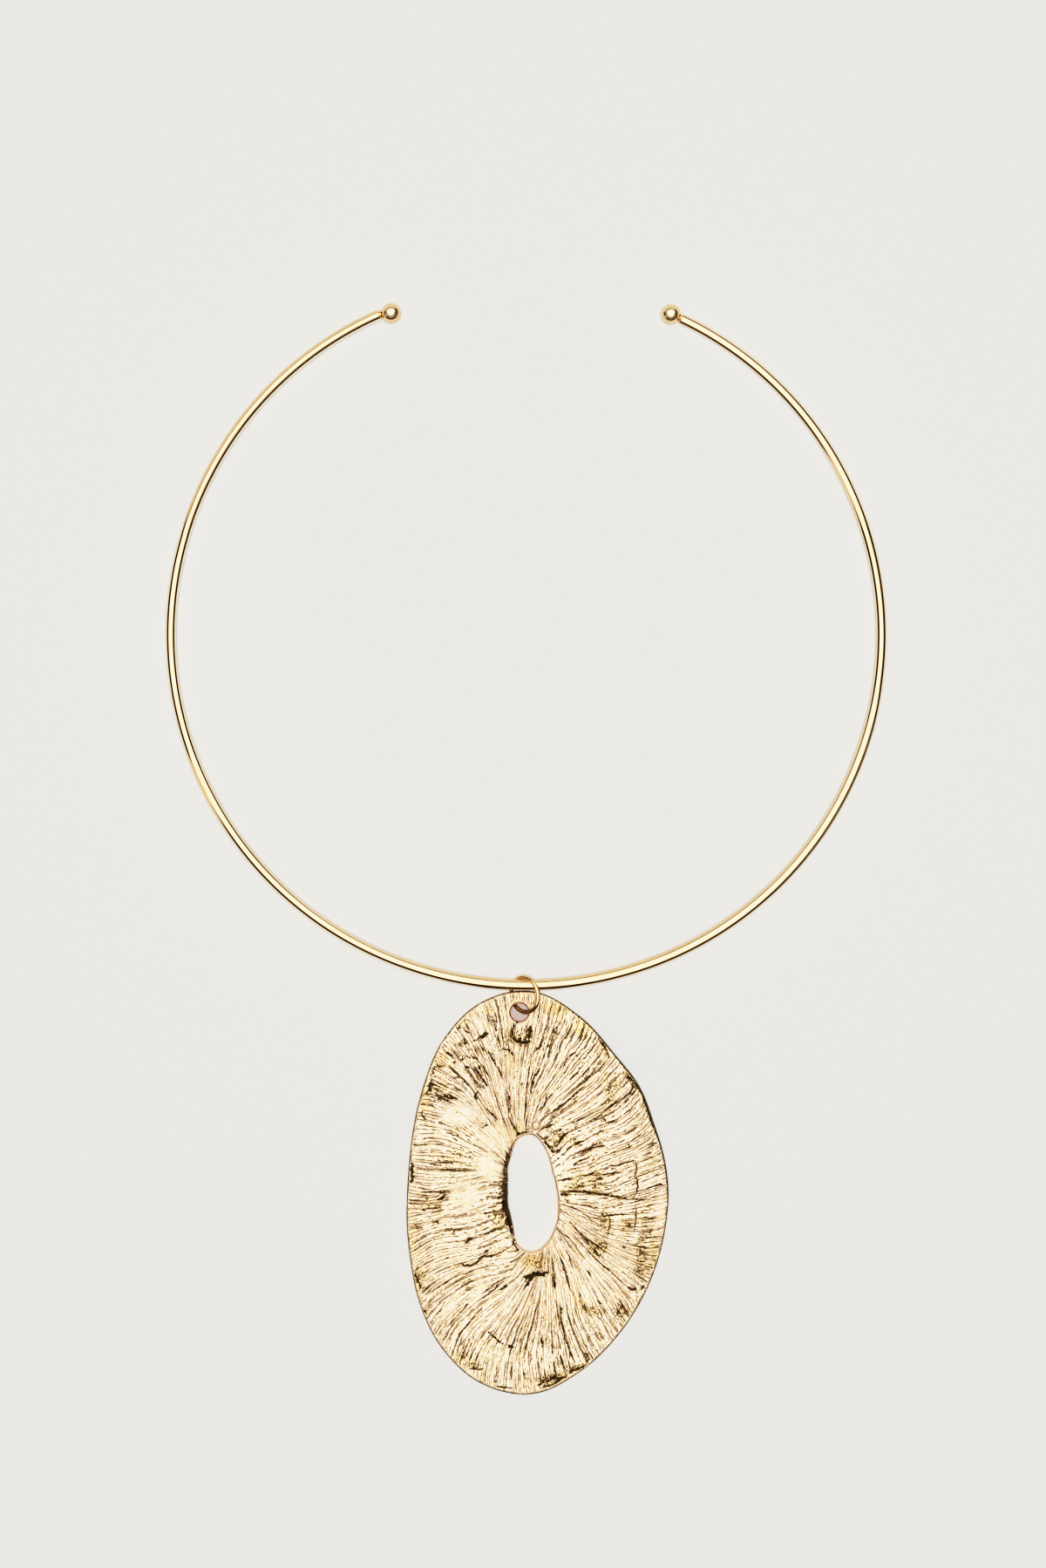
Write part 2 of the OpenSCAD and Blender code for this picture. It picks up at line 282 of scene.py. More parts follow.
side_x = (front_r - side_r) * math.sin(front_half)
side_y = front_middle_y - (front_r - side_r) * math.cos(front_half)
side_middle = {"left": np.array([-side_x, side_y]), "right": np.array([side_x, side_y])}
ball_middle = {"left": side_middle["left"] + polar(side_r - left_ball_inset, left_ball_angle),
               "right": side_middle["right"] + polar(side_r - right_ball_inset, right_ball_angle)}
end_reach = math.asin((ball_r + ball_gap + neck_len) / side_r)
end_angle = {"left": left_ball_angle + end_reach, "right": right_ball_angle - end_reach}
wire_end = {side: side_middle[side] + polar(side_r, end_angle[side]) for side in end_angle}
highest_ball_y = max(ball_middle["left"][1], ball_middle["right"][1])
collar_lift = ball_r + highest_ball_y * math.sin(collar_slope)
on_collar = Matrix.Translation((0, 0, collar_lift)) @ Matrix.Rotation(-collar_slope, 4, "X")


def arc(middle, r, start, stop):
    count = max(2, round(r * abs(stop - start) / wire_step))
    return [middle + polar(r, a) for a in np.linspace(start, stop, count + 1)]


def end_profile(length, r, easing, steps=6):
    """Distance from the end and radius of a round rod whose end is eased"""
    turns = np.linspace(0, math.pi / 2, steps)
    eased = [(easing * (1 - math.cos(t)), r - easing + easing * math.sin(t)) for t in turns]
    return eased + [(length, r)]


def wire_path():
    """Points of the wire from its left peg to its right peg, and its radius there"""
    start, stop = math.radians(270) - front_half, math.radians(270) + front_half
    points = arc(side_middle["left"], side_r, end_angle["left"], start)
    points += arc(np.array([0, front_middle_y]), front_r, start, stop)[1:]
    points += arc(side_middle["right"], side_r, stop, end_angle["right"] + math.tau)[1:]
    tip = [(peg_len - s, r) for s, r in end_profile(peg_len, peg_r, end_easing / 2)[:-1]]
    face = end_profile(2 * end_easing, wire_r, end_easing)
    ends = []
    for side, (last, before) in (("left", points[:2]), ("right", points[:-3:-1])):
        outward, inward = unit(ball_middle[side] - wire_end[side]), unit(before - last)
        ends.append([(wire_end[side] + outward * s, r) for s, r in tip + solder]
                    + [(wire_end[side] + inward * s, r) for s, r in face])
    return ends[0] + [(p, wire_r) for p in points[1:-1]] + ends[1][::-1]


def path_mesh(name, places):
    """A chain of edges that carries the wire's radius at each point"""
    mesh = bpy.data.meshes.new(name)
    points = [tuple(p) + (0,) * (3 - len(p)) for p, r in places]
    mesh.from_pydata(points, [(i, i + 1) for i in range(len(points) - 1)], [])
    thick = mesh.attributes.new("thick", "FLOAT", "POINT")
    thick.data.foreach_set("value", [r for p, r in places])
    return mesh


def new_tree(name, sizes):
    """A node tree that takes a shape and named sizes and gives a shape"""
    tree = bpy.data.node_groups.new(name, "GeometryNodeTree")
    tree.interface.new_socket("Geometry", in_out="INPUT", socket_type="NodeSocketGeometry")
    tree.interface.new_socket("Geometry", in_out="OUTPUT", socket_type="NodeSocketGeometry")
    for size, socket in sizes.items():
        tree.interface.new_socket(size, in_out="INPUT", socket_type=socket)
    return tree, add(tree, "NodeGroupInput").outputs, add(tree, "NodeGroupOutput").inputs


def named(tree, name, kind="FLOAT"):
    found = add(tree, "GeometryNodeInputNamedAttribute", {"Name": name}, data_type=kind)
    return found.outputs["Attribute"]


def store(tree, geometry, name, value, kind="FLOAT"):
    feeds = {"Geometry": geometry, "Name": name, "Value": value}
    stored = add(tree, "GeometryNodeStoreNamedAttribute", feeds, data_type=kind, domain="POINT")
    return stored.outputs[0]


def finish_tree(tree, geometry, material, output):
    """Every tree ends smooth, real and in its material"""
    smooth = add(tree, "GeometryNodeSetShadeSmooth", {"Geometry": geometry}).outputs[0]
    real = add(tree, "GeometryNodeRealizeInstances", {"Geometry": smooth}).outputs[0]
    dressed = add(tree, "GeometryNodeSetMaterial", {"Geometry": real, "Material": material}).outputs[0]
    tree.links.new(dressed, output["Geometry"])


def run_tree(name, mesh, tree, values):
    """Runs a tree on a mesh and gives the result as a plain mesh"""
    carrier = bpy.data.objects.new(name + "_carrier", mesh)
    scene.collection.objects.link(carrier)
    modifier = carrier.modifiers.new("shape", "NODES")
    modifier.node_group = tree
    for item in tree.interface.items_tree:
        if item.in_out == "INPUT" and item.name in values:
            modifier[item.identifier] = values[item.name]
    depsgraph = bpy.context.evaluated_depsgraph_get()
    shaped = carrier.evaluated_get(depsgraph)
    result = bpy.data.meshes.new_from_object(shaped, preserve_all_data_layers=True, depsgraph=depsgraph)
    bpy.data.objects.remove(carrier)
    result.name = name
    return result


def face_outwards(mesh):
    shape = bmesh.new()
    shape.from_mesh(mesh)
    bmesh.ops.recalc_face_normals(shape, faces=shape.faces)
    if shape.calc_volume(signed=True) < 0:
        bmesh.ops.reverse_faces(shape, faces=shape.faces)
    shape.to_mesh(mesh)
    shape.free()


def add_piece(name, mesh, node_name):
    piece = bpy.data.objects.new(name, mesh)
    scene.collection.objects.link(piece)
    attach(piece, body)
    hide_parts(node_name)
    return piece


def tube_tree():
    """Sweeps a round wire along a path and keeps where each point lies on it"""
    sizes = {"Sides": "NodeSocketInt", "Material": "NodeSocketMaterial"}
    tree, given, output = new_tree("drawn wire", sizes)
    path = add(tree, "GeometryNodeMeshToCurve", {"Mesh": given["Geometry"]}).outputs[0]
    path = add(tree, "GeometryNodeSetCurveNormal", {"Curve": path}, mode="Z_UP").outputs[0]
    length = add(tree, "GeometryNodeSplineParameter").outputs["Length"]
    path = store(tree, path, "run", length)
    feeds = {"Resolution": given["Sides"], "Radius": 1.0}
    ring = add(tree, "GeometryNodeCurvePrimitiveCircle", feeds, mode="RADIUS").outputs["Curve"]
    place = add(tree, "GeometryNodeInputPosition").outputs[0]
    ring = store(tree, ring, "round", place, "FLOAT_VECTOR")
    feeds = {"Curve": path, "Profile Curve": ring, "Scale": named(tree, "thick"), "Fill Caps": True}
    tube = add(tree, "GeometryNodeCurveToMesh", feeds).outputs[0]
    finish_tree(tree, tube, given["Material"], output)
    return tree


def shader_group(name, inputs, outputs):
    """A shader node group with named inputs and outputs"""
    group = bpy.data.node_groups.new(name, "ShaderNodeTree")
    for socket, value in inputs.items():
        kind = "Vector" if value is None else "Color" if isinstance(value, tuple) else "Float"
        made = group.interface.new_socket(socket, in_out="INPUT", socket_type="NodeSocket" + kind)
        if value is not None:
            made.default_value = value
    for socket, kind in outputs.items():
        group.interface.new_socket(socket, in_out="OUTPUT", socket_type="NodeSocket" + kind)
    return group, add(group, "NodeGroupInput").outputs, add(group, "NodeGroupOutput").inputs


def noise(tree, vector, scale, detail=2.0, roughness=0.5):
    feeds = {"Vector": vector, "Scale": scale, "Detail": detail, "Roughness": roughness}
    return add(tree, "ShaderNodeTexNoise", feeds).outputs["Fac"]


def handled_gold_group():
    """Fine rub marks and cloudy polish that all handled plating has"""
    inputs = {"Place": None, "Fine": 9000.0, "Cloudy": 400.0, "Smoothest": 0.1, "Roughest": 0.2,
              "Gold": (1, 1, 1, 1), "Worn Gold": (1, 1, 1, 1)}
    outputs = {"Color": "Color", "Roughness": "Float", "Height": "Float"}
    group, given, output = shader_group("handled gold", inputs, outputs)
    cloud = noise(group, given["Place"], given["Cloudy"], 3.0)
    cloud = smooth_between(group, cloud, *cloud_levels)
    fine = noise(group, given["Place"], given["Fine"], 2.0)
    rough = mix(group, cloud, given["Smoothest"], given["Roughest"])
    share = calc(group, "MULTIPLY", cloud, worn_share)
    tint = blend(group, share, given["Gold"], given["Worn Gold"])
    for name, value in {"Color": tint, "Roughness": rough, "Height": fine}.items():
        group.links.new(value, output[name])
    return group


handled_gold = handled_gold_group()


def gold_skin(name):
    """A metal material, its tree and its shader"""
    material = bpy.data.materials.new(name)
    material.use_nodes = True
    skin = material.node_tree.nodes["Principled BSDF"]
    skin.inputs["Metallic"].default_value = 1.0
    return material, material.node_tree, skin


def bump(tree, height, depth, skin):
    made = add(tree, "ShaderNodeBump", {"Height": height, "Distance": depth, "Strength": 1.0})
    tree.links.new(made.outputs[0], skin.inputs["Normal"])


def attribute(tree, name, output="Fac"):
    """What the mesh keeps at its points under a name: a number, or a vector"""
    return add(tree, "ShaderNodeAttribute", attribute_name=name).outputs[output]


def about_zero(tree, value):
    """Noise lies round a half; this brings it round zero"""
    return calc(tree, "SUBTRACT", value, 0.5)


def with_painted_reflections(tree, run, colour):
    """Lays the charted painted dark lines, which stand in for reflected dark room and shade, and the
    painted reflection tints below them, over a colour
    """
    z = split(tree, add(tree, "ShaderNodeTexCoord").outputs["Normal"])[2]
    tilt = calc(tree, "ARCCOSINE", z)
    waver = noise(tree, join(tree, 0.0, 0.0, run), waver_cell, 2.0)
    tilt = calc(tree, "MULTIPLY_ADD", about_zero(tree, waver), painted_line_waver, tilt)
    start, end, strength = split(tree, attribute(tree, "line", "Vector"))
    begun = smooth_between(tree, tilt, start, calc(tree, "ADD", start, painted_line_blur))
    ended = smooth_between(tree, tilt, end, calc(tree, "ADD", end, painted_line_blur))
    # Between the start and end tilts the colour is painted dark for reflected dark room and shade; past
    # the end it takes the painted pale or tan reflection.
    painted_dark = calc(tree, "MULTIPLY", calc(tree, "SUBTRACT", begun, ended), strength)
    low = blend(tree, attribute(tree, "tan"), painted_pale_tint, painted_tan_tint)
    colour = blend(tree, ended, colour, low)
    return blend(tree, painted_dark, colour, painted_dark_tint)


def keep(mesh, values):
    """Keeps a number or a vector for each point of a mesh, by name"""
    for name, numbers in values.items():
        kind, field = ("FLOAT", "value") if numbers.ndim == 1 else ("FLOAT_VECTOR", "vector")
        mesh.attributes.new(name, kind, "POINT").data.foreach_set(field, numbers.ravel())


def chart_painted_reflections(mesh, table, middle):
    """Keeps at each point where its painted dark reflection line starts and ends, how dark it is,
    and how tan the painted reflection below it is, from a table round a middle"""
    place, normal = (np.empty(len(mesh.vertices) * 3) for part in range(2))
    mesh.vertices.foreach_get("co", place)
    mesh.vertices.foreach_get("normal", normal)
    way = place.reshape(-1, 3)[:, :2] - middle
    angle = np.degrees(np.arctan2(way[:, 1], way[:, 0]))
    angle = (angle - table[0, 0]) % 360 + table[0, 0]
    columns = [np.interp(angle, table[:, 0], table[:, k]) for k in range(1, 9)]
    outer = (way * normal.reshape(-1, 3)[:, :2]).sum(1) > 0
    start, end, strength, tan_share = np.where(outer, columns[4:], columns[:4])
    line = np.column_stack([np.radians(start), np.radians(end), strength])
    keep(mesh, {"line": line, "tan": tan_share})


def handled_marks(tree, place, gold, worn, rough, **cells):
    """The marks of handling in a material, with its own gold and roughness"""
    feeds = {"Place": place, "Smoothest": rough[0], "Roughest": rough[1], "Gold": gold,
             "Worn Gold": worn, **cells}
    return add(tree, "ShaderNodeGroup", feeds, node_tree=handled_gold).outputs


def wire_material(name, gold, worn, draw_depth, rough):
    """Plated drawn wire: faint lines run along it from the drawing plate, and it takes the charted
    painted dark reflection lines and tints
    """
    material, tree, skin = gold_skin(name)
    run = attribute(tree, "run")
    x, y, z = split(tree, attribute(tree, "round", "Vector"))
    along_wire = calc(tree, "MULTIPLY", run, draw_stretch)
    lines = noise(tree, join(tree, x, y, along_wire), draw_cell, 2.0)
    place = add(tree, "ShaderNodeTexCoord").outputs["Object"]
    marks = handled_marks(tree, place, gold, worn, rough)
    tree.links.new(with_painted_reflections(tree, run, marks["Color"]), skin.inputs["Base Color"])
    tree.links.new(marks["Roughness"], skin.inputs["Roughness"])
    bump(tree, calc(tree, "MULTIPLY_ADD", marks["Height"], rub_share, lines), draw_depth, skin)
    return material


tube = tube_tree()
wire_skin = wire_material("polished_wire", wire_gold, wire_tarnish, wire_draw_depth, wire_rough)
mesh = run_tree("collar_wire_visual", path_mesh("collar_path", wire_path()), tube,
                {"Sides": wire_sides, "Material": wire_skin})
mesh.transform(on_collar)
face_outwards(mesh)
chart_painted_reflections(mesh, painted_reflection_lines, (0, 0))
add_piece("collar_wire_visual", mesh, "collar_wire")

# End balls. Two plated brass balls, each drilled half through and set on the
# peg of its wire end, with a hair's breadth left round the peg.
ball_sides = 96
ball_rows = 56
bore_r = peg_r + ball_gap
bore_len = peg_len + 0.0001
bore_easing = 0.00012
ball_gold = (1.0, 0.76, 0.46, 1)
ball_rough = (0.18, 0.26)
ball_cells = {"Cloudy": 700.0, "Fine": 1300.0}
dimple_depth = 0.00003
# Their painted dark reflection lines: angle round the ball, then as for the wire, of which the
# balls have only the side away from their middle.
ball_painted_reflections = np.array([
    (-180, 0, 0, 0, 0, 19, 28, 0.6, 0.8), (-150, 0, 0, 0, 0, 17, 28, 0.85, 0.8),
    (0, 0, 0, 0, 0, 17, 28, 0.85, 0.8), (25, 0, 0, 0, 0, 22, 28, 0.2, 0.8),
    (90, 0, 0, 0, 0, 24, 28, 0.0, 0.8), (150, 0, 0, 0, 0, 24, 28, 0.1, 0.8),
    (180, 0, 0, 0, 0, 19, 28, 0.6, 0.8)])


def turned(name, profile, start, way, sides):
    """A solid of revolution: profile holds (distance along the axis, radius)"""
    shape = bmesh.new()
    aim = Vector(way).to_track_quat("Z", "Y").to_matrix().to_4x4()
    place = Matrix.Translation(start) @ aim
    rings = []
    for t, r in profile:
        if r == 0:
            rings.append([shape.verts.new(place @ Vector((0, 0, t)))])
            continue
        spins = [polar(r, math.tau * k / sides) for k in range(sides)]
        rings.append([shape.verts.new(place @ Vector((x, y, t))) for x, y in spins])
    for low, high in zip(rings, rings[1:]):
        for k in range(sides):
            pairs = ((low, k), (low, k + 1), (high, k + 1), (high, k))
            shape.faces.new(dict.fromkeys(ring[i % len(ring)] for ring, i in pairs))
    for face in shape.faces:
        face.smooth = True
    mesh = bpy.data.meshes.new(name)
    shape.to_mesh(mesh)
    shape.free()
    face_outwards(mesh)
    return mesh


def ball_profile(reach):
    """From the bottom of the bore, out of its eased mouth and over the ball"""
    bottom = bore_len - reach
    mouth_r = bore_r + bore_easing
    mouth = -math.sqrt(ball_r ** 2 - mouth_r ** 2)
    profile = [(bottom, 0), (bottom, bore_r), (mouth + bore_easing, bore_r)]
    for t in np.linspace(0, math.pi / 2, 5)[1:]:
        inset, widening = 1 - math.sin(t), 1 - math.cos(t)
        profile.append((mouth + bore_easing * inset, bore_r + bore_easing * widening))
    first = math.asin(mouth_r / ball_r)
    for t in np.linspace(first, math.pi, ball_rows)[1:-1]:
        profile.append((-ball_r * math.cos(t), ball_r * math.sin(t)))
    return profile + [(ball_r, 0)]


def ball_material():
    """Plated ball, tumbled smooth, with the faintest of dimples and painted dark reflection lines"""
    material, tree, skin = gold_skin("polished_ball")
    place = add(tree, "ShaderNodeTexCoord").outputs["Object"]
    marks = handled_marks(tree, place, ball_gold, wire_tarnish, ball_rough, **ball_cells)
    colour = with_painted_reflections(tree, split(tree, place)[0], marks["Color"])
    tree.links.new(colour, skin.inputs["Base Color"])
    tree.links.new(marks["Roughness"], skin.inputs["Roughness"])
    bump(tree, marks["Height"], dimple_depth, skin)
    return material


ball_skin = ball_material()
for side in ("left", "right"):
    way = ball_middle[side] - wire_end[side]
    profile = ball_profile(float(np.linalg.norm(way)))
    middle = Vector((*ball_middle[side], 0))
    mesh = turned("bead_%s_visual" % side, profile, middle, (*way, 0), ball_sides)
    mesh.transform(on_collar)
    chart_painted_reflections(mesh, ball_painted_reflections, (on_collar @ middle)[:2])
    mesh.materials.append(ball_skin)
    add_piece("bead_%s_visual" % side, mesh, "bead_" + side)

# Jump ring. A loop of thin round brass wire, plated, cut off at a slant and
# bent shut. It leans on the table, lies over the collar's wire and passes
# through the pendant's hole.
ring_wire_r = 0.0004
ring_r = 0.0034
ring_cut = 0.0002
ring_lean = math.radians(42)
ring_turn = math.radians(10)
ring_cut_angle = math.radians(121)
ring_place = (-0.0003, -0.0689)
ring_sides = 28
ring_steps = 180
ring_tip_easing = 0.00005
cut_slant = 0.9
slant_reach = 0.0005
ring_gold = (1.0, 0.73, 0.40, 1)
ring_tarnish = (0.72, 0.40, 0.16, 1)
ring_rough = (0.14, 0.26)
ring_draw_depth = 0.000005
# Its painted dark reflection lines: angle round the ring, then as for the collar's wire
ring_painted_reflections = np.array([
    (-180, 10, 80, 0.7, 1.0, 10, 80, 0.7, 1.0), (-120, 10, 80, 0.7, 1.0, 10, 80, 0.8, 1.0),
    (-70, 20, 80, 0.8, 1.0, 12, 85, 0.9, 1.0), (-40, 35, 70, 0.4, 1.0, 26, 85, 0.9, 1.0),
    (0, 50, 62, 0.1, 0.3, 34, 80, 0.8, 1.0), (50, 45, 60, 0.0, 0.0, 38, 60, 0.4, 0.2),
    (80, 40, 60, 0.0, 0.0, 34, 60, 0.4, 0.2), (110, 30, 60, 0.0, 0.0, 40, 60, 0.2, 0.2),
    (180, 10, 80, 0.7, 1.0, 10, 80, 0.7, 1.0)])

ring_lift = ring_r * math.sin(ring_lean) + ring_wire_r
on_ring = (Matrix.Translation((*ring_place, ring_lift)) @ Matrix.Rotation(ring_turn, 4, "Z")
           @ Matrix.Rotation(-ring_lean, 4, "Y"))


def ring_path():
    half_cut = math.asin(ring_cut / 2 / ring_r)
    start, stop = ring_cut_angle + half_cut, ring_cut_angle + math.tau - half_cut
    eased = end_profile(0, ring_wire_r, ring_tip_easing, 4)[:-1]
    ends = [(s / ring_r, r) for s, r in eased]
    inner = np.linspace(start + ends[-1][0], stop - ends[-1][0], ring_steps)[1:-1]
    places = [(start + a, r) for a, r in ends] + [(a, ring_wire_r) for a in inner]
    places += [(stop - a, r) for a, r in ends[::-1]]
    return [(polar(ring_r, a), r) for a, r in places]


def slant_cut(mesh):
    """Slants both faces of the cut the same way, as side cutters leave them"""
    for v in mesh.vertices:
        angle = math.atan2(v.co.y, v.co.x) - ring_cut_angle
        angle = (angle + math.pi) % math.tau - math.pi
        out_from_middle = math.hypot(v.co.x, v.co.y) - ring_r
        share = math.exp(-abs(angle) * ring_r / slant_reach)
        turn = cut_slant * out_from_middle * share / ring_r
        v.co = Matrix.Rotation(turn, 3, "Z") @ v.co


ring_skin = wire_material("ring_wire", ring_gold, ring_tarnish, ring_draw_depth, ring_rough)
mesh = run_tree("jump_ring_visual", path_mesh("ring_path", ring_path()), tube,
                {"Sides": ring_sides, "Material": ring_skin})
slant_cut(mesh)
mesh.transform(on_ring)
face_outwards(mesh)
chart_painted_reflections(mesh, ring_painted_reflections, ring_place)
add_piece("jump_ring_visual", mesh, "jump_ring")

# Pendant. One cast brass plate with a slot, gold plated over a rough face
# whose ribs fan out from the slot, like split bark. The rim runs out to a
# thin smooth lip, and a round hole at the top takes the jump ring.
# The plate is laid out in millimetres round the middle of its slot, and only
# then put in its place.
mm = 0.001
slot_middle = (1.23, -106.92)
slot_place = (slot_middle[0] * mm, slot_middle[1] * mm)
plate_t = 1.9
rim_t = 1.1
hole_flat_t = 1.2
rib_h = 0.16
step_h = 0.2
step_count = 4.2
hole_r = 1.75
hole_ease = 0.3
hole_place = (-1.27 - slot_middle[0], -72.3 - slot_middle[1])
hole_lift = 1.19
flat_reach = 2.6
flat_blend = 4.5
slot_rounding = 0.45
rim_rounding = 0.3
slot_undercut = 0.2
rim_undercut = 0.25
edge_h = 0.3
# Shares of the way from slot to rim: where the plate reaches its thickness,
# where it starts to thin, and how far in from both edges the relief is full
full_from = 0.2
thin_from = 0.75
plain_at_slot, plain_at_rim = 0.08, 0.06

# Outline and lie of the ribs, seen from the face, a row every 15 degrees
# from the picture's right, counterclockwise, round the middle of the slot.
# rim radius, slot radius, lean at the slot, lean half way
outline = np.array([
    (26.0, 4.7, -15, -8), (26.1, 4.6, -7, -4), (26.8, 4.9, 9, -1), (28.9, 5.4, 33, 5),
    (31.0, 6.7, 29, 7), (35.0, 8.9, 20, 6), (38.6, 11.1, 13, 4), (37.8, 10.7, 5, 0),
    (34.0, 8.2, -4, -4), (29.4, 6.7, -12, -9), (26.2, 5.4, -16, -10), (24.4, 4.9, -23, -5),
    (24.0, 4.7, -28, -4), (24.9, 4.9, -5, 0), (26.9, 5.3, 28, 5), (30.4, 5.9, 37, 6),
    (34.5, 7.4, 32, 5), (37.8, 10.3, 24, 4), (38.5, 11.1, 14, 1), (35.4, 9.9, 6, 0),
    (32.0, 8.1, 2, 1), (29.3, 6.7, 1, 0), (27.4, 5.6, -4, -5), (26.3, 5.0, -11, -10)])
outline_step = 360 / len(outline)
widest_lean = 70

# Broad hollows of the cast face.
# x, y from the slot's middle, direction, half length, half width, depth
troughs = np.array([
    (-0.8, 29.3, 175, 2.6, 0.8, 0.45), (0.2, 31.0, 90, 1.8, 0.5, 0.40),
    (2.6, 27.5, 140, 1.4, 0.7, 0.35), (-5.0, 27.3, 20, 1.8, 0.6, 0.35),
    (-9.5, 30.0, 30, 1.8, 0.6, 0.45), (-13.8, 25.8, 20, 1.6, 0.6, 0.40),
    (-17.6, 24.3, 35, 1.3, 0.6, 0.35), (-19.5, 20.8, 75, 1.5, 0.6, 0.45),
    (-10.6, 22.6, 120, 2.6, 0.6, 0.35), (-18.0, 18.3, 15, 2.4, 0.5, 0.45),
    (-8.0, 15.3, 150, 1.6, 0.6, 0.35), (-3.0, 12.5, 110, 1.2, 0.5, 0.30),
    (4.5, 11.0, 130, 2.2, 0.6, 0.55), (1.0, 22.3, 100, 2.8, 0.4, 0.35),
    (8.0, 17.5, 40, 4.0, 0.4, 0.35), (14.5, 29.0, 125, 2.6, 0.5, 0.40),
    (14.5, 13.5, 10, 1.6, 0.6, 0.40), (11.0, 8.3, 12, 3.2, 0.4, 0.35),
    (12.5, 0.0, 175, 6.0, 0.5, 0.40), (20.2, 2.5, 92, 4.2, 0.5, 0.40),
    (13.8, -6.0, 100, 2.2, 1.2, 0.30), (19.0, -18.2, 35, 1.2, 0.6, 0.40),
    (0.8, -15.6, 12, 2.8, 0.8, 0.60), (-12.6, -13.4, 8, 1.8, 0.4, 0.35),
    (-6.0, -28.0, 140, 3.2, 0.5, 0.45), (4.0, -35.4, 15, 3.6, 0.8, 0.40),
    (9.0, -33.6, 30, 2.0, 0.7, 0.35), (-22.5, 4.0, 95, 2.4, 0.5, 0.40),
    (-17.4, 0.3, 175, 2.6, 0.5, 0.30)])
trough_share = 0.35
soften = 0.6

# How wide a crack is in its middle beside its row, and how much it thins out
crack_fullness = 1.05
crack_taper = 0.6
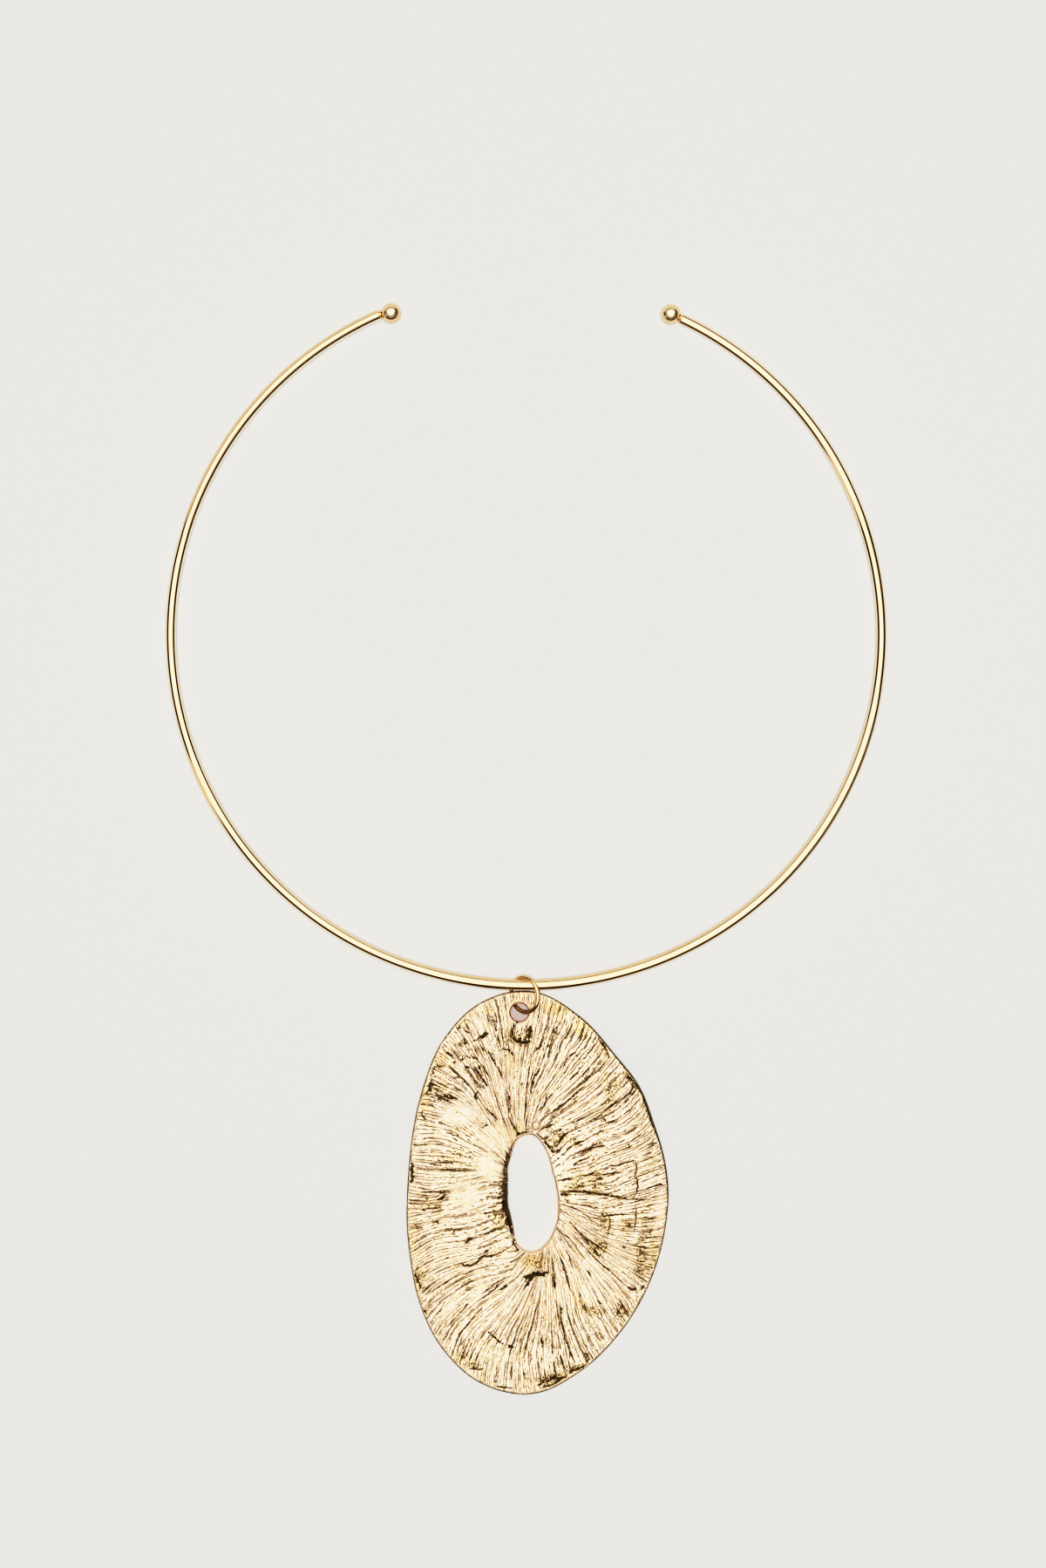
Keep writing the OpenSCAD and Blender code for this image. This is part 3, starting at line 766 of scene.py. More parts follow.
# Sharp cracks of the cast face, from its top to its foot.
# half width, then x, y of each point that the crack runs through
cracks = [
    (0.20, -14.5, 31.4, -13.9, 31.6, -13.4, 31.8),
    (0.14, -13.4, 31.8, -12.9, 31.2, -12.2, 30.7, -11.8, 30.8), (0.12, -12.8, 32.5, -11.8, 30.9),
    (0.13, -12.6, 33.3, -11.4, 32.6), (0.12, -14.2, 32.1, -12.7, 33.3),
    (0.18, -11.5, 29.2, -10.7, 29.4), (0.33, -10.7, 29.4, -10.0, 29.9, -9.0, 30.4, -8.8, 30.9),
    (0.20, -9.0, 30.4, -8.3, 30.6), (0.18, -13.2, 29.8, -12.9, 29.1, -12.5, 28.6),
    (0.13, -13.6, 29.4, -12.8, 28.4), (0.14, -14.0, 29.1, -13.2, 28.2),
    (0.13, -14.5, 29.1, -13.5, 28.0, -13.1, 28.3), (0.10, -15.4, 29.1, -14.3, 28.0),
    (0.16, -15.7, 27.9, -15.0, 27.1, -14.3, 26.2, -13.8, 25.5), (0.20, -13.8, 25.5, -13.1, 25.7),
    (0.14, -14.2, 26.2, -13.6, 26.6), (0.10, -15.0, 28.2, -13.9, 26.9),
    (0.26, -17.2, 28.1, -17.0, 27.6), (0.18, -17.0, 27.5, -16.5, 27.0, -15.6, 26.5, -15.0, 25.7),
    (0.20, -15.1, 25.1, -14.7, 25.1), (0.17, -12.8, 26.4, -11.8, 25.8),
    (0.20, -11.7, 26.5, -11.1, 25.9, -10.4, 25.6), (0.12, -11.5, 28.4, -10.3, 26.2),
    (0.14, -12.4, 27.7, -11.5, 27.5), (0.10, -10.7, 28.2, -10.2, 26.6),
    (0.14, -10.0, 28.6, -9.6, 27.6, -9.2, 27.2), (0.20, -18.5, 24.8, -17.9, 24.3, -16.9, 24.3),
    (0.18, -18.1, 24.0, -17.7, 24.2), (0.12, -18.5, 24.8, -19.0, 23.4),
    (0.20, -19.2, 23.2, -18.8, 22.9), (0.20, -19.6, 22.7, -19.2, 22.6),
    (0.33, -19.3, 22.1, -19.5, 20.8, -19.7, 20.1, -19.4, 19.5), (0.16, -20.1, 20.7, -19.6, 20.7),
    (0.16, -20.0, 19.6, -20.6, 18.9), (0.16, -19.3, 20.9, -17.5, 20.3),
    (0.23, -13.0, 24.4, -12.2, 24.1), (0.16, -12.8, 24.0, -11.4, 22.2, -10.3, 20.2),
    (0.16, -11.9, 24.4, -11.0, 23.2, -10.3, 22.1),
    (0.18, -11.3, 24.6, -10.6, 23.4, -9.3, 21.6, -8.6, 20.5), (0.18, -10.4, 24.6, -9.6, 23.0),
    (0.16, -9.7, 24.8, -8.9, 23.3, -8.0, 22.1), (0.20, -11.0, 21.6, -10.0, 20.4),
    (0.20, -10.7, 22.8, -10.3, 21.8), (0.20, -9.0, 21.0, -8.6, 20.5),
    (0.20, -9.7, 20.7, -9.2, 20.1), (0.17, -10.1, 20.4, -9.9, 20.1),
    (0.20, -10.1, 19.7, -10.8, 19.0, -10.9, 18.6, -10.6, 18.0), (0.16, -15.3, 22.0, -14.3, 22.2),
    (0.18, -15.8, 24.3, -14.9, 23.4, -14.2, 22.5, -13.3, 21.9), (0.13, -13.3, 21.9, -12.2, 20.5),
    (0.17, -15.0, 20.4, -14.7, 20.1, -13.7, 19.7, -13.1, 19.4), (0.12, -18.1, 19.7, -17.2, 19.4),
    (0.14, -19.0, 19.4, -17.0, 18.2), (0.16, -19.5, 18.6, -18.2, 18.0),
    (0.20, -18.2, 18.2, -17.3, 18.2, -17.9, 17.6),
    (0.28, -16.9, 18.9, -16.3, 18.4, -15.6, 18.2, -14.5, 18.2), (0.16, -16.5, 17.9, -15.8, 17.8),
    (0.16, -17.5, 18.7, -16.5, 18.0), (0.16, -6.8, 30.3, -6.5, 29.3, -6.0, 27.9),
    (0.13, -8.8, 34.4, -8.2, 32.3), (0.13, -8.1, 34.1, -7.2, 31.9), (0.13, -7.7, 34.1, -6.9, 32.0),
    (0.13, -7.2, 34.8, -6.7, 32.3), (0.20, -7.1, 31.2, -6.8, 31.4),
    (0.20, -8.4, 27.2, -7.8, 25.9, -6.9, 24.6), (0.14, -6.9, 24.6, -6.2, 23.2, -5.6, 21.8),
    (0.20, -6.5, 27.3, -5.8, 27.6, -5.0, 27.5, -4.3, 27.4, -3.9, 26.8, -3.3, 25.9),
    (0.12, -4.3, 31.5, -4.2, 29.6, -3.7, 28.4), (0.20, -3.4, 33.0, -2.7, 32.6),
    (0.18, -2.6, 30.2, -2.3, 30.2), (0.16, -4.9, 20.0, -4.5, 18.7, -4.3, 17.3),
    (0.18, -2.2, 20.8, -1.7, 21.2), (0.16, -3.5, 22.5, -3.3, 21.8),
    (0.20, -3.5, 32.6, -3.9, 30.5, -3.3, 29.4), (0.40, -0.4, 31.9, -0.7, 29.4),
    (0.42, -3.3, 29.4, -1.8, 28.9, -0.4, 29.1), (0.20, 0.1, 27.0, 1.3, 27.9, 2.0, 29.4),
    (0.18, -20.0, 17.0, -18.8, 16.7), (0.18, -21.1, 16.0, -21.1, 14.9, -20.2, 14.1),
    (0.15, -5.2, 19.4, -4.7, 17.0, -4.5, 15.3), (0.14, -4.0, 17.0, -4.7, 15.3),
    (0.18, -9.0, 16.4, -6.6, 14.1), (0.12, -0.2, 27.0, -0.9, 22.0, -1.6, 14.4),
    (0.16, -9.7, 12.5, -8.5, 13.2), (0.18, -4.7, 14.6, -2.8, 11.5),
    (0.20, -3.2, 10.9, -1.8, 11.7, 0.0, 11.9), (0.13, -18.0, 7.3, -15.2, 6.8),
    (0.14, -20.0, 5.7, -17.3, 5.3), (0.10, -22.3, 4.9, -18.5, 4.5), (0.22, -21.3, 0.3, -15.7, 0.2),
    (0.30, -23.2, 6.3, -22.9, 2.7, -23.3, 2.0), (0.16, 5.3, 32.9, 3.9, 30.3, 2.9, 26.5),
    (0.12, 8.2, 31.5, 7.0, 28.4), (0.12, 7.2, 31.5, 6.4, 29.9), (0.15, 9.8, 31.7, 9.1, 29.1),
    (0.18, 8.2, 27.2, 6.5, 25.6, 5.8, 24.1), (0.25, 8.3, 26.4, 8.6, 26.2),
    (0.26, 12.5, 29.6, 13.9, 27.9, 14.7, 26.0),
    (0.16, 17.2, 23.4, 17.9, 22.2, 18.9, 21.0, 19.1, 20.3, 18.6, 19.1, 17.2, 18.2, 14.8, 16.5,
     12.5, 14.6, 10.1, 13.4), (0.14, 14.8, 26.0, 12.5, 23.4, 10.1, 21.6),
    (0.12, 10.5, 22.8, 9.4, 21.3), (0.14, 8.9, 23.4, 7.0, 21.7),
    (0.17, 10.3, 20.8, 8.6, 19.4, 6.5, 17.5, 4.4, 16.0, 2.7, 14.8),
    (0.14, 2.5, 19.4, 2.7, 17.9, 2.0, 16.5, 1.0, 15.9), (0.22, 1.5, 24.1, 0.1, 21.8, -0.4, 19.1),
    (0.15, 4.4, 14.9, 3.4, 14.1), (0.18, 3.9, 13.4, 2.5, 12.5),
    (0.20, 13.0, 14.3, 13.5, 14.5, 13.9, 14.0, 13.3, 13.6), (0.18, 14.3, 13.4, 15.8, 13.9),
    (0.22, 0.8, 11.5, 2.2, 10.2, 3.2, 8.7, 3.9, 8.0, 4.8, 7.9, 5.5, 8.9),
    (0.15, 3.4, 8.6, 4.6, 9.1, 5.3, 10.0, 5.5, 10.9, 6.7, 11.0),
    (0.22, 8.4, 7.7, 10.1, 8.2, 12.2, 8.9, 13.9, 9.2), (0.15, 7.7, 5.5, 9.1, 6.3, 11.0, 6.9),
    (0.15, 14.8, 5.2, 16.3, 5.4, 17.9, 5.9, 19.8, 6.4),
    (0.16, 19.4, 6.2, 19.9, 5.6, 19.8, 4.4, 19.6, 3.4, 20.1, 2.4, 20.1, 1.0, 19.8, 0.0, 19.3, -0.8),
    (0.14, 19.7, -1.8, 19.8, -4.5, 19.4, -7.5),
    (0.26, 17.9, 23.1, 19.0, 21.7, 19.8, 20.9, 20.6, 19.4, 21.3, 18.2, 21.9, 16.2, 22.5, 14.3,
     23.2, 12.8, 23.8, 11.5, 24.3, 10.1, 24.6, 8.8), (0.14, 7.7, 0.8, 8.9, 1.3, 9.8, 1.6),
    (0.14, 11.3, 3.4, 13.4, 3.6, 15.3, 3.9, 17.7, 4.1), (0.14, 13.4, 1.5, 15.3, 1.6),
    (0.20, 5.3, 0.3, 7.7, 0.4, 11.5, 0.1, 13.4, -0.2, 15.5, -0.5, 18.6, -1.1, 22.5, -1.2),
    (0.14, 23.2, 1.4, 25.3, 1.7), (0.15, 18.2, 9.7, 18.6, 8.6), (0.13, 21.3, 7.2, 22.9, 7.9),
    (0.13, 22.0, 9.1, 23.4, 9.8), (0.34, 5.4, -0.2, 7.0, -0.3), (0.16, 6.0, -1.0, 7.0, -1.7),
    (0.11, 5.3, -2.0, 8.5, -3.0, 11.0, -4.8, 13.0, -6.3),
    (0.13, 7.0, -5.2, 8.0, -6.5, 10.3, -9.0, 11.2, -10.3), (0.12, 5.2, -7.2, 6.6, -8.3, 7.2, -8.7),
    (0.10, 4.8, -8.5, 6.3, -9.5), (0.30, -18.2, -1.2, -17.3, -0.9, -16.8, -0.2),
    (0.12, -21.2, -3.0, -17.4, -2.7), (0.28, -20.9, -3.1, -20.7, -3.3),
    (0.10, -18.8, -2.2, -17.0, -2.2), (0.09, -23.4, -6.3, -20.4, -5.3),
    (0.09, -22.8, -6.9, -20.8, -6.4), (0.24, -19.1, -5.7, -18.5, -5.2, -17.8, -5.8),
    (0.12, -17.1, -7.3, -12.6, -6.6), (0.26, -15.1, -7.2, -14.9, -7.4),
    (0.22, -12.9, -9.5, -12.2, -8.9, -11.4, -8.4), (0.15, -10.4, -8.2, -8.0, -7.3, -5.0, -6.5),
    (0.16, -10.0, -3.9, -7.8, -3.6, -5.6, -3.3), (0.12, -7.0, -11.9, -5.0, -10.6, -3.6, -9.9),
    (0.24, -13.8, -13.3, -12.9, -13.8, -11.6, -13.8, -10.2, -12.7, -9.3, -12.0, -8.0, -12.0, -7.2,
     -11.8), (0.16, -9.4, -11.3, -8.2, -10.7), (0.13, -9.4, -13.8, -8.8, -13.7, -8.5, -14.0),
    (0.16, -16.6, -12.4, -15.9, -12.2), (0.11, -21.0, -19.8, -17.0, -17.3, -14.0, -15.4),
    (0.11, -20.6, -22.2, -19.0, -20.9, -16.5, -19.3), (0.13, -18.5, -23.3, -17.3, -22.1),
    (0.13, -16.8, -25.9, -14.5, -23.7, -12.4, -21.2), (0.22, -12.8, -21.3, -12.3, -21.2),
    (0.14, -14.8, -29.0, -14.0, -27.0, -12.3, -25.0, -10.5, -22.7, -9.4, -21.6),
    (0.10, -2.2, -12.0, -3.5, -14.0, -4.3, -15.0),
    (0.17, -10.0, -20.3, -8.0, -18.9, -6.7, -17.7, -5.6, -16.8),
    (0.14, -9.8, -19.3, -7.0, -17.1, -4.8, -15.9), (0.22, -6.3, -18.5, -5.2, -17.9, -4.8, -17.4),
    (0.22, -8.4, -26.4, -7.9, -26.9, -6.4, -28.4, -5.5, -28.9), (0.34, -4.6, -29.1, -3.6, -29.5),
    (0.12, -3.5, -28.9, -3.3, -27.0), (0.12, -12.8, -31.4, -11.8, -29.0, -11.0, -26.5),
    (0.10, -11.2, -33.2, -10.8, -31.8, -9.5, -29.0),
    (0.24, -11.9, -33.7, -11.3, -33.5, -10.0, -33.8, -9.4, -33.6), (0.26, -7.2, -35.9, -6.9, -36.0),
    (0.18, -7.0, -36.9, -6.0, -37.2, -4.9, -37.2, -3.6, -37.4), (0.14, -1.8, -33.5, -1.4, -35.9),
    (0.26, -22.5, -15.3, -22.0, -16.6, -21.4, -18.0), (0.20, -20.8, -22.4, -20.2, -23.3),
    (0.36, -5.5, -1.0, -5.4, -3.2), (0.32, -4.9, -4.3, -4.4, -5.9, -4.1, -7.4),
    (0.32, -3.7, -9.2, -3.2, -10.3, -2.7, -11.0),
    (0.45, -1.6, -16.0, -0.6, -16.0, 0.0, -15.6, 0.8, -15.3, 1.6, -15.3, 3.0, -15.2),
    (0.30, 1.9, -15.0, 2.3, -15.9), (0.24, 0.0, -16.0, -1.0, -17.3, -1.5, -18.1),
    (0.12, 3.0, -14.6, 3.0, -11.9), (0.13, 3.6, -12.0, 3.9, -14.0, 4.5, -17.8),
    (0.16, 5.3, -12.2, 5.8, -13.5, 6.7, -16.5, 7.3, -18.8),
    (0.11, 6.2, -10.8, 7.0, -12.0, 7.7, -14.5), (0.18, 3.9, -16.0, 4.3, -18.3),
    (0.14, 1.4, -20.0, 0.6, -22.3, -0.2, -25.5, -1.2, -29.0, -1.7, -31.5),
    (0.15, 5.2, -21.8, 5.6, -25.0, 6.3, -28.0, 7.2, -30.5, 8.2, -32.8),
    (0.25, 5.2, -21.4, 5.6, -22.8), (0.11, 4.4, -20.0, 4.9, -23.5, 5.2, -26.5),
    (0.16, 9.0, -19.0, 9.2, -19.8), (0.20, 9.8, -20.7, 10.0, -21.8, 10.4, -22.8),
    (0.18, 12.3, -20.4, 13.2, -21.2), (0.13, 10.4, -14.7, 11.3, -15.9),
    (0.14, 10.0, -10.3, 12.2, -12.7, 15.0, -15.0, 18.0, -17.8),
    (0.24, 18.2, -17.9, 19.0, -18.4, 19.6, -18.3, 19.7, -17.9), (0.22, 20.8, -18.5, 21.4, -17.6),
    (0.16, 10.2, -8.6, 11.3, -9.3, 12.3, -9.9), (0.20, 11.5, -10.5, 12.5, -11.7, 12.8, -12.2),
    (0.15, 13.4, -11.2, 14.3, -10.0, 14.0, -9.2), (0.13, 14.8, -4.5, 14.8, -6.2, 14.3, -8.5),
    (0.14, 20.2, -7.4, 21.4, -7.7, 22.6, -7.4, 23.0, -6.8),
    (0.09, 20.2, -8.2, 22.8, -8.4, 23.3, -8.6), (0.16, 17.0, -10.0, 17.9, -10.4),
    (0.16, 18.0, -9.0, 18.6, -9.2), (0.13, 20.2, -13.0, 21.5, -13.2),
    (0.13, 20.0, -14.5, 21.0, -15.0), (0.13, 20.4, -11.4, 21.6, -11.6),
    (0.24, 1.6, -27.5, 1.9, -29.5), (0.13, 2.6, -27.5, 2.6, -28.5), (0.13, 3.6, -28.0, 3.9, -31.3),
    (0.12, 1.7, -31.0, 1.8, -32.5), (0.20, 5.3, -31.0, 5.9, -33.0, 6.8, -34.5),
    (0.24, 6.9, -33.5, 7.8, -33.9, 9.0, -33.6, 10.3, -32.8), (0.26, 6.9, -34.5, 7.9, -33.9),
    (0.30, 1.0, -36.8, 2.2, -36.2, 3.4, -35.8, 4.2, -35.1, 4.8, -35.9, 5.6, -35.5, 6.4, -35.2),
    (0.22, 1.9, -37.2, 3.2, -36.9, 5.0, -36.0), (0.16, 16.3, -21.0, 17.5, -22.3),
    (0.15, 15.9, -23.5, 16.8, -22.0), (0.11, 11.8, -26.6, 13.2, -28.5),
    (0.11, 12.4, -26.4, 13.9, -28.2), (0.20, 10.1, -30.5, 10.9, -31.6, 10.2, -32.3)]

# Patches where the cast face is pitted and browner, or calm and pale if the
# strength is below zero.
# x, y from the slot's middle, reach across and up, strength
patches = np.array([
    (-16.2, 8.0, 5.0, 5.6, 0.5), (-19.5, -1.5, 3.5, 3.0, 0.5), (13.8, -5.5, 1.6, 3.0, 1.0),
    (12.6, -10.3, 2.4, 2.2, 1.0), (17.2, -22.8, 2.0, 2.2, 1.0), (-21.6, -16.5, 1.8, 3.2, 1.0),
    (-12.6, -16.8, 2.4, 3.0, 0.6), (20.8, -12.5, 1.8, 5.0, 0.9), (21.4, -4.0, 1.8, 5.0, 0.6),
    (8.0, -24.0, 2.6, 3.0, 0.7), (4.2, -35.6, 5.0, 1.6, 1.0), (9.0, -33.4, 2.6, 1.0, 1.0),
    (-17.5, 19.5, 4.0, 3.0, 0.3), (-2.0, 29.5, 4.0, 3.0, 0.6), (11.5, -22.5, 3.0, 1.6, 0.8),
    (-6.8, -4.5, 2.0, 4.5, 0.8), (5.5, 10.0, 3.0, 2.6, 0.5), (10.5, 3.0, 5.0, 4.0, 0.5),
    (17.5, -6.5, 2.6, 1.8, 0.6), (-13.0, -32.0, 3.0, 2.0, 0.6), (0.5, -13.5, 3.2, 1.6, 0.5),
    (15.5, 20.0, 3.0, 4.0, 0.5), (-13.0, -0.5, 3.4, 3.4, -0.9), (-7.2, 10.6, 4.2, 2.8, -0.9),
    (-8.5, 5.2, 2.8, 3.0, -0.8), (-12.0, -18.0, 13.0, 13.0, -0.22),
    (12.0, -18.0, 12.0, 13.0, -0.27), (-14.0, 2.0, 10.0, 12.0, -0.2),
    (-10.6, -17.5, 1.4, 5.0, -0.7), (24.4, -3.0, 1.2, 4.0, -0.6), (-12.6, 26.0, 7.0, 7.5, -0.2),
    (-11.0, 32.5, 3.0, 2.0, -0.5), (-3.5, 23.0, 2.4, 3.0, -0.4), (-14.3, 15.0, 3.6, 2.3, -0.9),
    (3.0, -18.5, 2.0, 2.0, -0.4), (-8.0, -30.5, 4.0, 1.5, -0.4)])

# Smooth patches of a warmer gold, in the same terms.
warm_patches = np.array([
    (0.2, -13.0, 2.8, 1.4, 1.0), (-2.6, 12.6, 2.4, 1.4, 0.6), (9.6, 32.0, 2.0, 2.6, 0.8),
    (13.2, 28.6, 1.4, 2.4, 0.5), (-20.6, 17.6, 1.2, 3.0, 0.7), (-17.0, 25.5, 2.5, 1.6, 0.5),
    (-22.6, -8.5, 0.8, 4.0, 0.6), (23.2, -11.0, 0.9, 3.0, 0.8), (4.6, 35.4, 3.4, 1.5, 0.9),
    (-8.0, 35.0, 3.0, 1.0, 0.5), (-4.0, 25.0, 1.6, 2.4, 0.4), (9.0, -20.5, 2.0, 1.4, 0.5)])

# Round blebs of metal that the mould left, and the painted shade line round their foot.
# x, y from the slot's middle, radius
blebs = [(0.7, 12.9, 0.75), (-0.9, 12.5, 0.4), (3.3, 12.1, 0.45), (13.4, 14.0, 0.35)]
foot_shade_ring = (1.15, 0.15)
foot_shade_darkness = 0.4

# On its left the slot's edge falls away steeply, with painted shade over the fall and further out.
# The very rim has a band of painted shade too, darkest at its upper right.
fall_direction = 181
fall_from, fall_blend = 0.15, 0.45
fall_depth = 0.8
fall_width = 1.1
slot_shade_width = 2.6
rim_shade_width = 0.35
rim_shade_direction = 38
rim_shade_from, rim_shade_blend = 0.62, 0.25
rim_shade_widening = 0.12

plate_columns = 1400
plate_rows = 50
edge_rows = 5
back_rows = 3
edge_band = 0.7
hole_sides = 64

# Where the face takes its fine relief: above this height over a blend, in
# from slot and rim by a share of the way, and clear of the ring hole.
fine_height, fine_height_blend = 0.35, 0.2
fine_edge = 0.03
fine_hole, fine_hole_blend = 1.9, 0.9

# Dark lines along the ribs: spacing, half width, length along the rib, and
# the noise levels between which a line comes into sight. The long lines are
# the grooves too, and get wider where the face is rough.
fine_lines = (0.62, 0.10, 3.5, (0.37, 0.56))
short_lines = (0.42, 0.09, 1.3, (0.46, 0.60))
long_spacing, long_run, long_seen = 1.4, 4.5, (0.43, 0.58)
long_width, long_widening = 0.11, 0.05
mean_width = 24.0
bend_cell, line_bend = 0.11, 2.0
shake_cell, line_shake = 1.2, 0.4
line_stray = 0.6
line_softness = 0.05
faintest = 0.4

# Cracks: how far noise tears their outline and swells their width, how soft
# they end, and how far from their middle line they can reach.
tear_cell = 1.5
tear_growth, least_tear, most_tear = 3.6, 0.1, 1.3
crack_swell = (2.3, -0.15)
crack_softness = 0.08
crack_reach = 0.75

# Depths of the fine relief and widths of its grooves
relief_sizes = {"Groove Depth": 0.1, "Groove Width": 0.2, "Spacing": long_spacing, "Run": long_run,
                "Crack Depth": 0.2, "Swell": 0.1, "Streak": 0.1, "Seed": 3.0}
fine_depth = 0.00006

cast_gold = (1.0, 0.74, 0.59, 1)
cast_tarnish = (0.92, 0.63, 0.34, 1)
cast_warm = (0.90, 0.58, 0.26, 1)
# The dark colour stands for brown patina in the hollows and painted shade together
patina_and_painted_shade = (0.058, 0.041, 0.011, 1)
cast_rough = (0.28, 0.38)
patina_rough = 0.5
# Noise of the face: cells to the millimetre, detail, roughness
grain_noise = (2.3, 4.0, 0.7)
mottle_noise = (3.4, 2.0, 0.6)
drift_noise = (0.28, 3.0, 0.6)
# Streaks along the ribs: width and length of a cell
broad_streak = (0.5, 4.0)
narrow_streak = (0.25, 1.5)
# Noise levels between which pits, brown and the painted shade of the edges come in, what
# a rough patch adds to the first two, and how much streaks fray the last
pit_levels, patch_pits = (0.62, 0.68), 0.11
brown_levels, patch_brown = (0.63, 0.75), 0.14
edge_shade_levels, edge_shade_fray = (0.44, 0.60), 2.4
# How dark pits and fine lines are beside a crack, and how high the streaks,
# dark lines and blebs stand beside the grain
pit_darkness, fine_darkness = 0.9, 0.75
streak_height, dark_height, bleb_height = 0.8, -1.2, 3.0


def from_table(angle, column):
    """Smooth closed curve through one column of the outline, at any direction"""
    place = np.asarray(angle) / outline_step
    row = np.floor(place).astype(int)
    part = place - row
    a, b, c, d = (outline[(row + k) % len(outline), column] for k in (-1, 0, 1, 2))
    return 0.5 * (2 * b + (c - a) * part + (2 * a - 5 * b + 4 * c - d) * part ** 2
                  + (3 * b - a - 3 * c + d) * part ** 3)


def ramp(x):
    t = np.clip(x, 0, 1)
    return t * t * (3 - 2 * t)


def between(a, b, share):
    return a + (b - a) * share


def rib_direction(a, u):
    return a + from_table(a, 2) * (1 - u) * (1 - 2 * u) + from_table(a, 3) * 4 * u * (1 - u)


def plate_point(a, u):
    b = rib_direction(a, u)
    r = between(from_table(b, 1), from_table(b, 0), u)
    return r * np.cos(np.radians(b)), r * np.sin(np.radians(b))


def rib_of(x, y):
    """Direction at the rim and share of the way out, of the rib through a point"""
    b = np.degrees(np.arctan2(y, x))
    slot, rim = from_table(b, 1), from_table(b, 0)
    u = np.clip((np.hypot(x, y) - slot) / (rim - slot), 0, 1)
    low, high = b - widest_lean, b + widest_lean
    for halving in range(24):
        middle = (low + high) / 2
        past = rib_direction(middle, u) > b
        low, high = np.where(past, low, middle), np.where(past, middle, high)
    return middle, u


def trough_depth(x, y):
    """Depth of the deepest trough over each point"""
    depth = np.zeros_like(x)
    for tx, ty, direction, length, width, deep in troughs:
        c, s = math.cos(math.radians(direction)), math.sin(math.radians(direction))
        along, side = (x - tx) * c + (y - ty) * s, (y - ty) * c - (x - tx) * s
        share = np.clip(1 - (along / length) ** 2, 0, 1) * np.clip(1 - (side / width) ** 2, 0, 1)
        depth = np.maximum(depth, deep * share)
    return depth


def nearest_crack(x, y):
    """Way from each point to the nearest crack, with the crack's half width there"""
    best = np.full(x.shape, 1e9)
    way = np.zeros(x.shape + (3,))
    for width, *numbers in cracks:
        points = np.array(numbers).reshape(-1, 2)
        parts = len(points) - 1
        for k, ((ax, ay), (bx, by)) in enumerate(zip(points, points[1:])):
            dx, dy = bx - ax, by - ay
            t = np.clip(((x - ax) * dx + (y - ay) * dy) / (dx * dx + dy * dy), 0, 1)
            off_x, off_y = ax + t * dx - x, ay + t * dy - y
            to_tip = (2 * (k + t) / parts - 1) ** 4
            here = crack_fullness * width * (1 - crack_taper * to_tip)
            gap = np.hypot(off_x, off_y) - here
            nearer = gap < best
            best = np.where(nearer, gap, best)
            way[nearer] = np.column_stack([off_x, off_y, here])[nearer]
    return way


def patch_share(x, y, table):
    """How far inside a patch of the table each point lies, times its strength"""
    high, low = np.zeros_like(x), np.zeros_like(x)
    for px, py, across, upward, strength in table:
        share = strength * ramp((1.25 - np.hypot((x - px) / across, (y - py) / upward)) / 0.9)
        high = np.maximum(high, share)
        low = np.minimum(low, share)
    return high + low


def wave(degrees):
    return np.sin(np.radians(degrees))


def ribs(a, u):
    return rib_h * (0.5 * wave(29 * a + 40 * wave(3 * a))
                    + 0.45 * wave(47 * a + 40 * wave(2 * a + 90 * u)) * ramp(u / 0.4)
                    + 0.45 * wave(71 * a + 70 * wave(5 * a)) * ramp(u / 0.6))


def steps(a, u):
    phase = step_count * u + 0.5 * wave(2 * a + 30) + 0.3 * wave(5 * a) + 0.2 * wave(11 * a) + 1
    part = phase - np.floor(phase)
    return step_h * np.where(part < 0.8, part / 0.8, (1 - part) / 0.2)


def near_hole(x, y, reach, blend):
    return ramp((np.hypot(x - hole_place[0], y - hole_place[1]) - reach) / blend)


def slot_side(b, u, width):
    """How far down the slot's fallen left edge a point lies"""
    from_slot = u * (from_table(b, 0) - from_table(b, 1))
    leftness = ramp((np.cos(np.radians(b - fall_direction)) - fall_from) / fall_blend)
    return leftness * np.clip(1 - from_slot / width, 0, 1)


def rim_side(b, u):
    """How near the very rim a point lies, for the painted shade there, which is darker at its upper
    right
    """
    upper_right = ramp((np.cos(np.radians(b - rim_shade_direction)) - rim_shade_from) / rim_shade_blend)
    from_rim = (1 - u) * (from_table(b, 0) - from_table(b, 1))
    return (0.9 + 0.2 * upper_right) * ramp((rim_shade_width + rim_shade_widening * upper_right - from_rim) / 0.3)


def thickness(a, u):
    """Thickness of the plate, its ribs, steps and troughs included"""
    x, y = plate_point(a, u)
    thick = between(plate_t - slot_rounding / 2, plate_t, ramp(u / full_from))
    fall = between(thick, rim_t, ramp((u - thin_from) / (1 - thin_from)))
    edge = ramp(u / plain_at_slot) * ramp((1 - u) / plain_at_rim)
    relief = soften * (ribs(a, u) + steps(a, u) - step_h / 2)
    relief = (relief - trough_share * trough_depth(x, y)) * edge
    slot_fall = fall_depth * slot_side(rib_direction(a, u), u, fall_width) ** 1.2
    return between(hole_flat_t, fall + relief - slot_fall, near_hole(x, y, flat_reach, flat_blend))


def even_columns():
    """Rib directions that cut the rim in equal lengths"""
    fine = np.linspace(0, 360, 7201)
    x, y = plate_point(fine, np.ones_like(fine))
    run = np.concatenate([[0], np.cumsum(np.hypot(np.diff(x), np.diff(y)))])
    return np.interp(np.arange(plate_columns) / plate_columns * run[-1], run, fine)


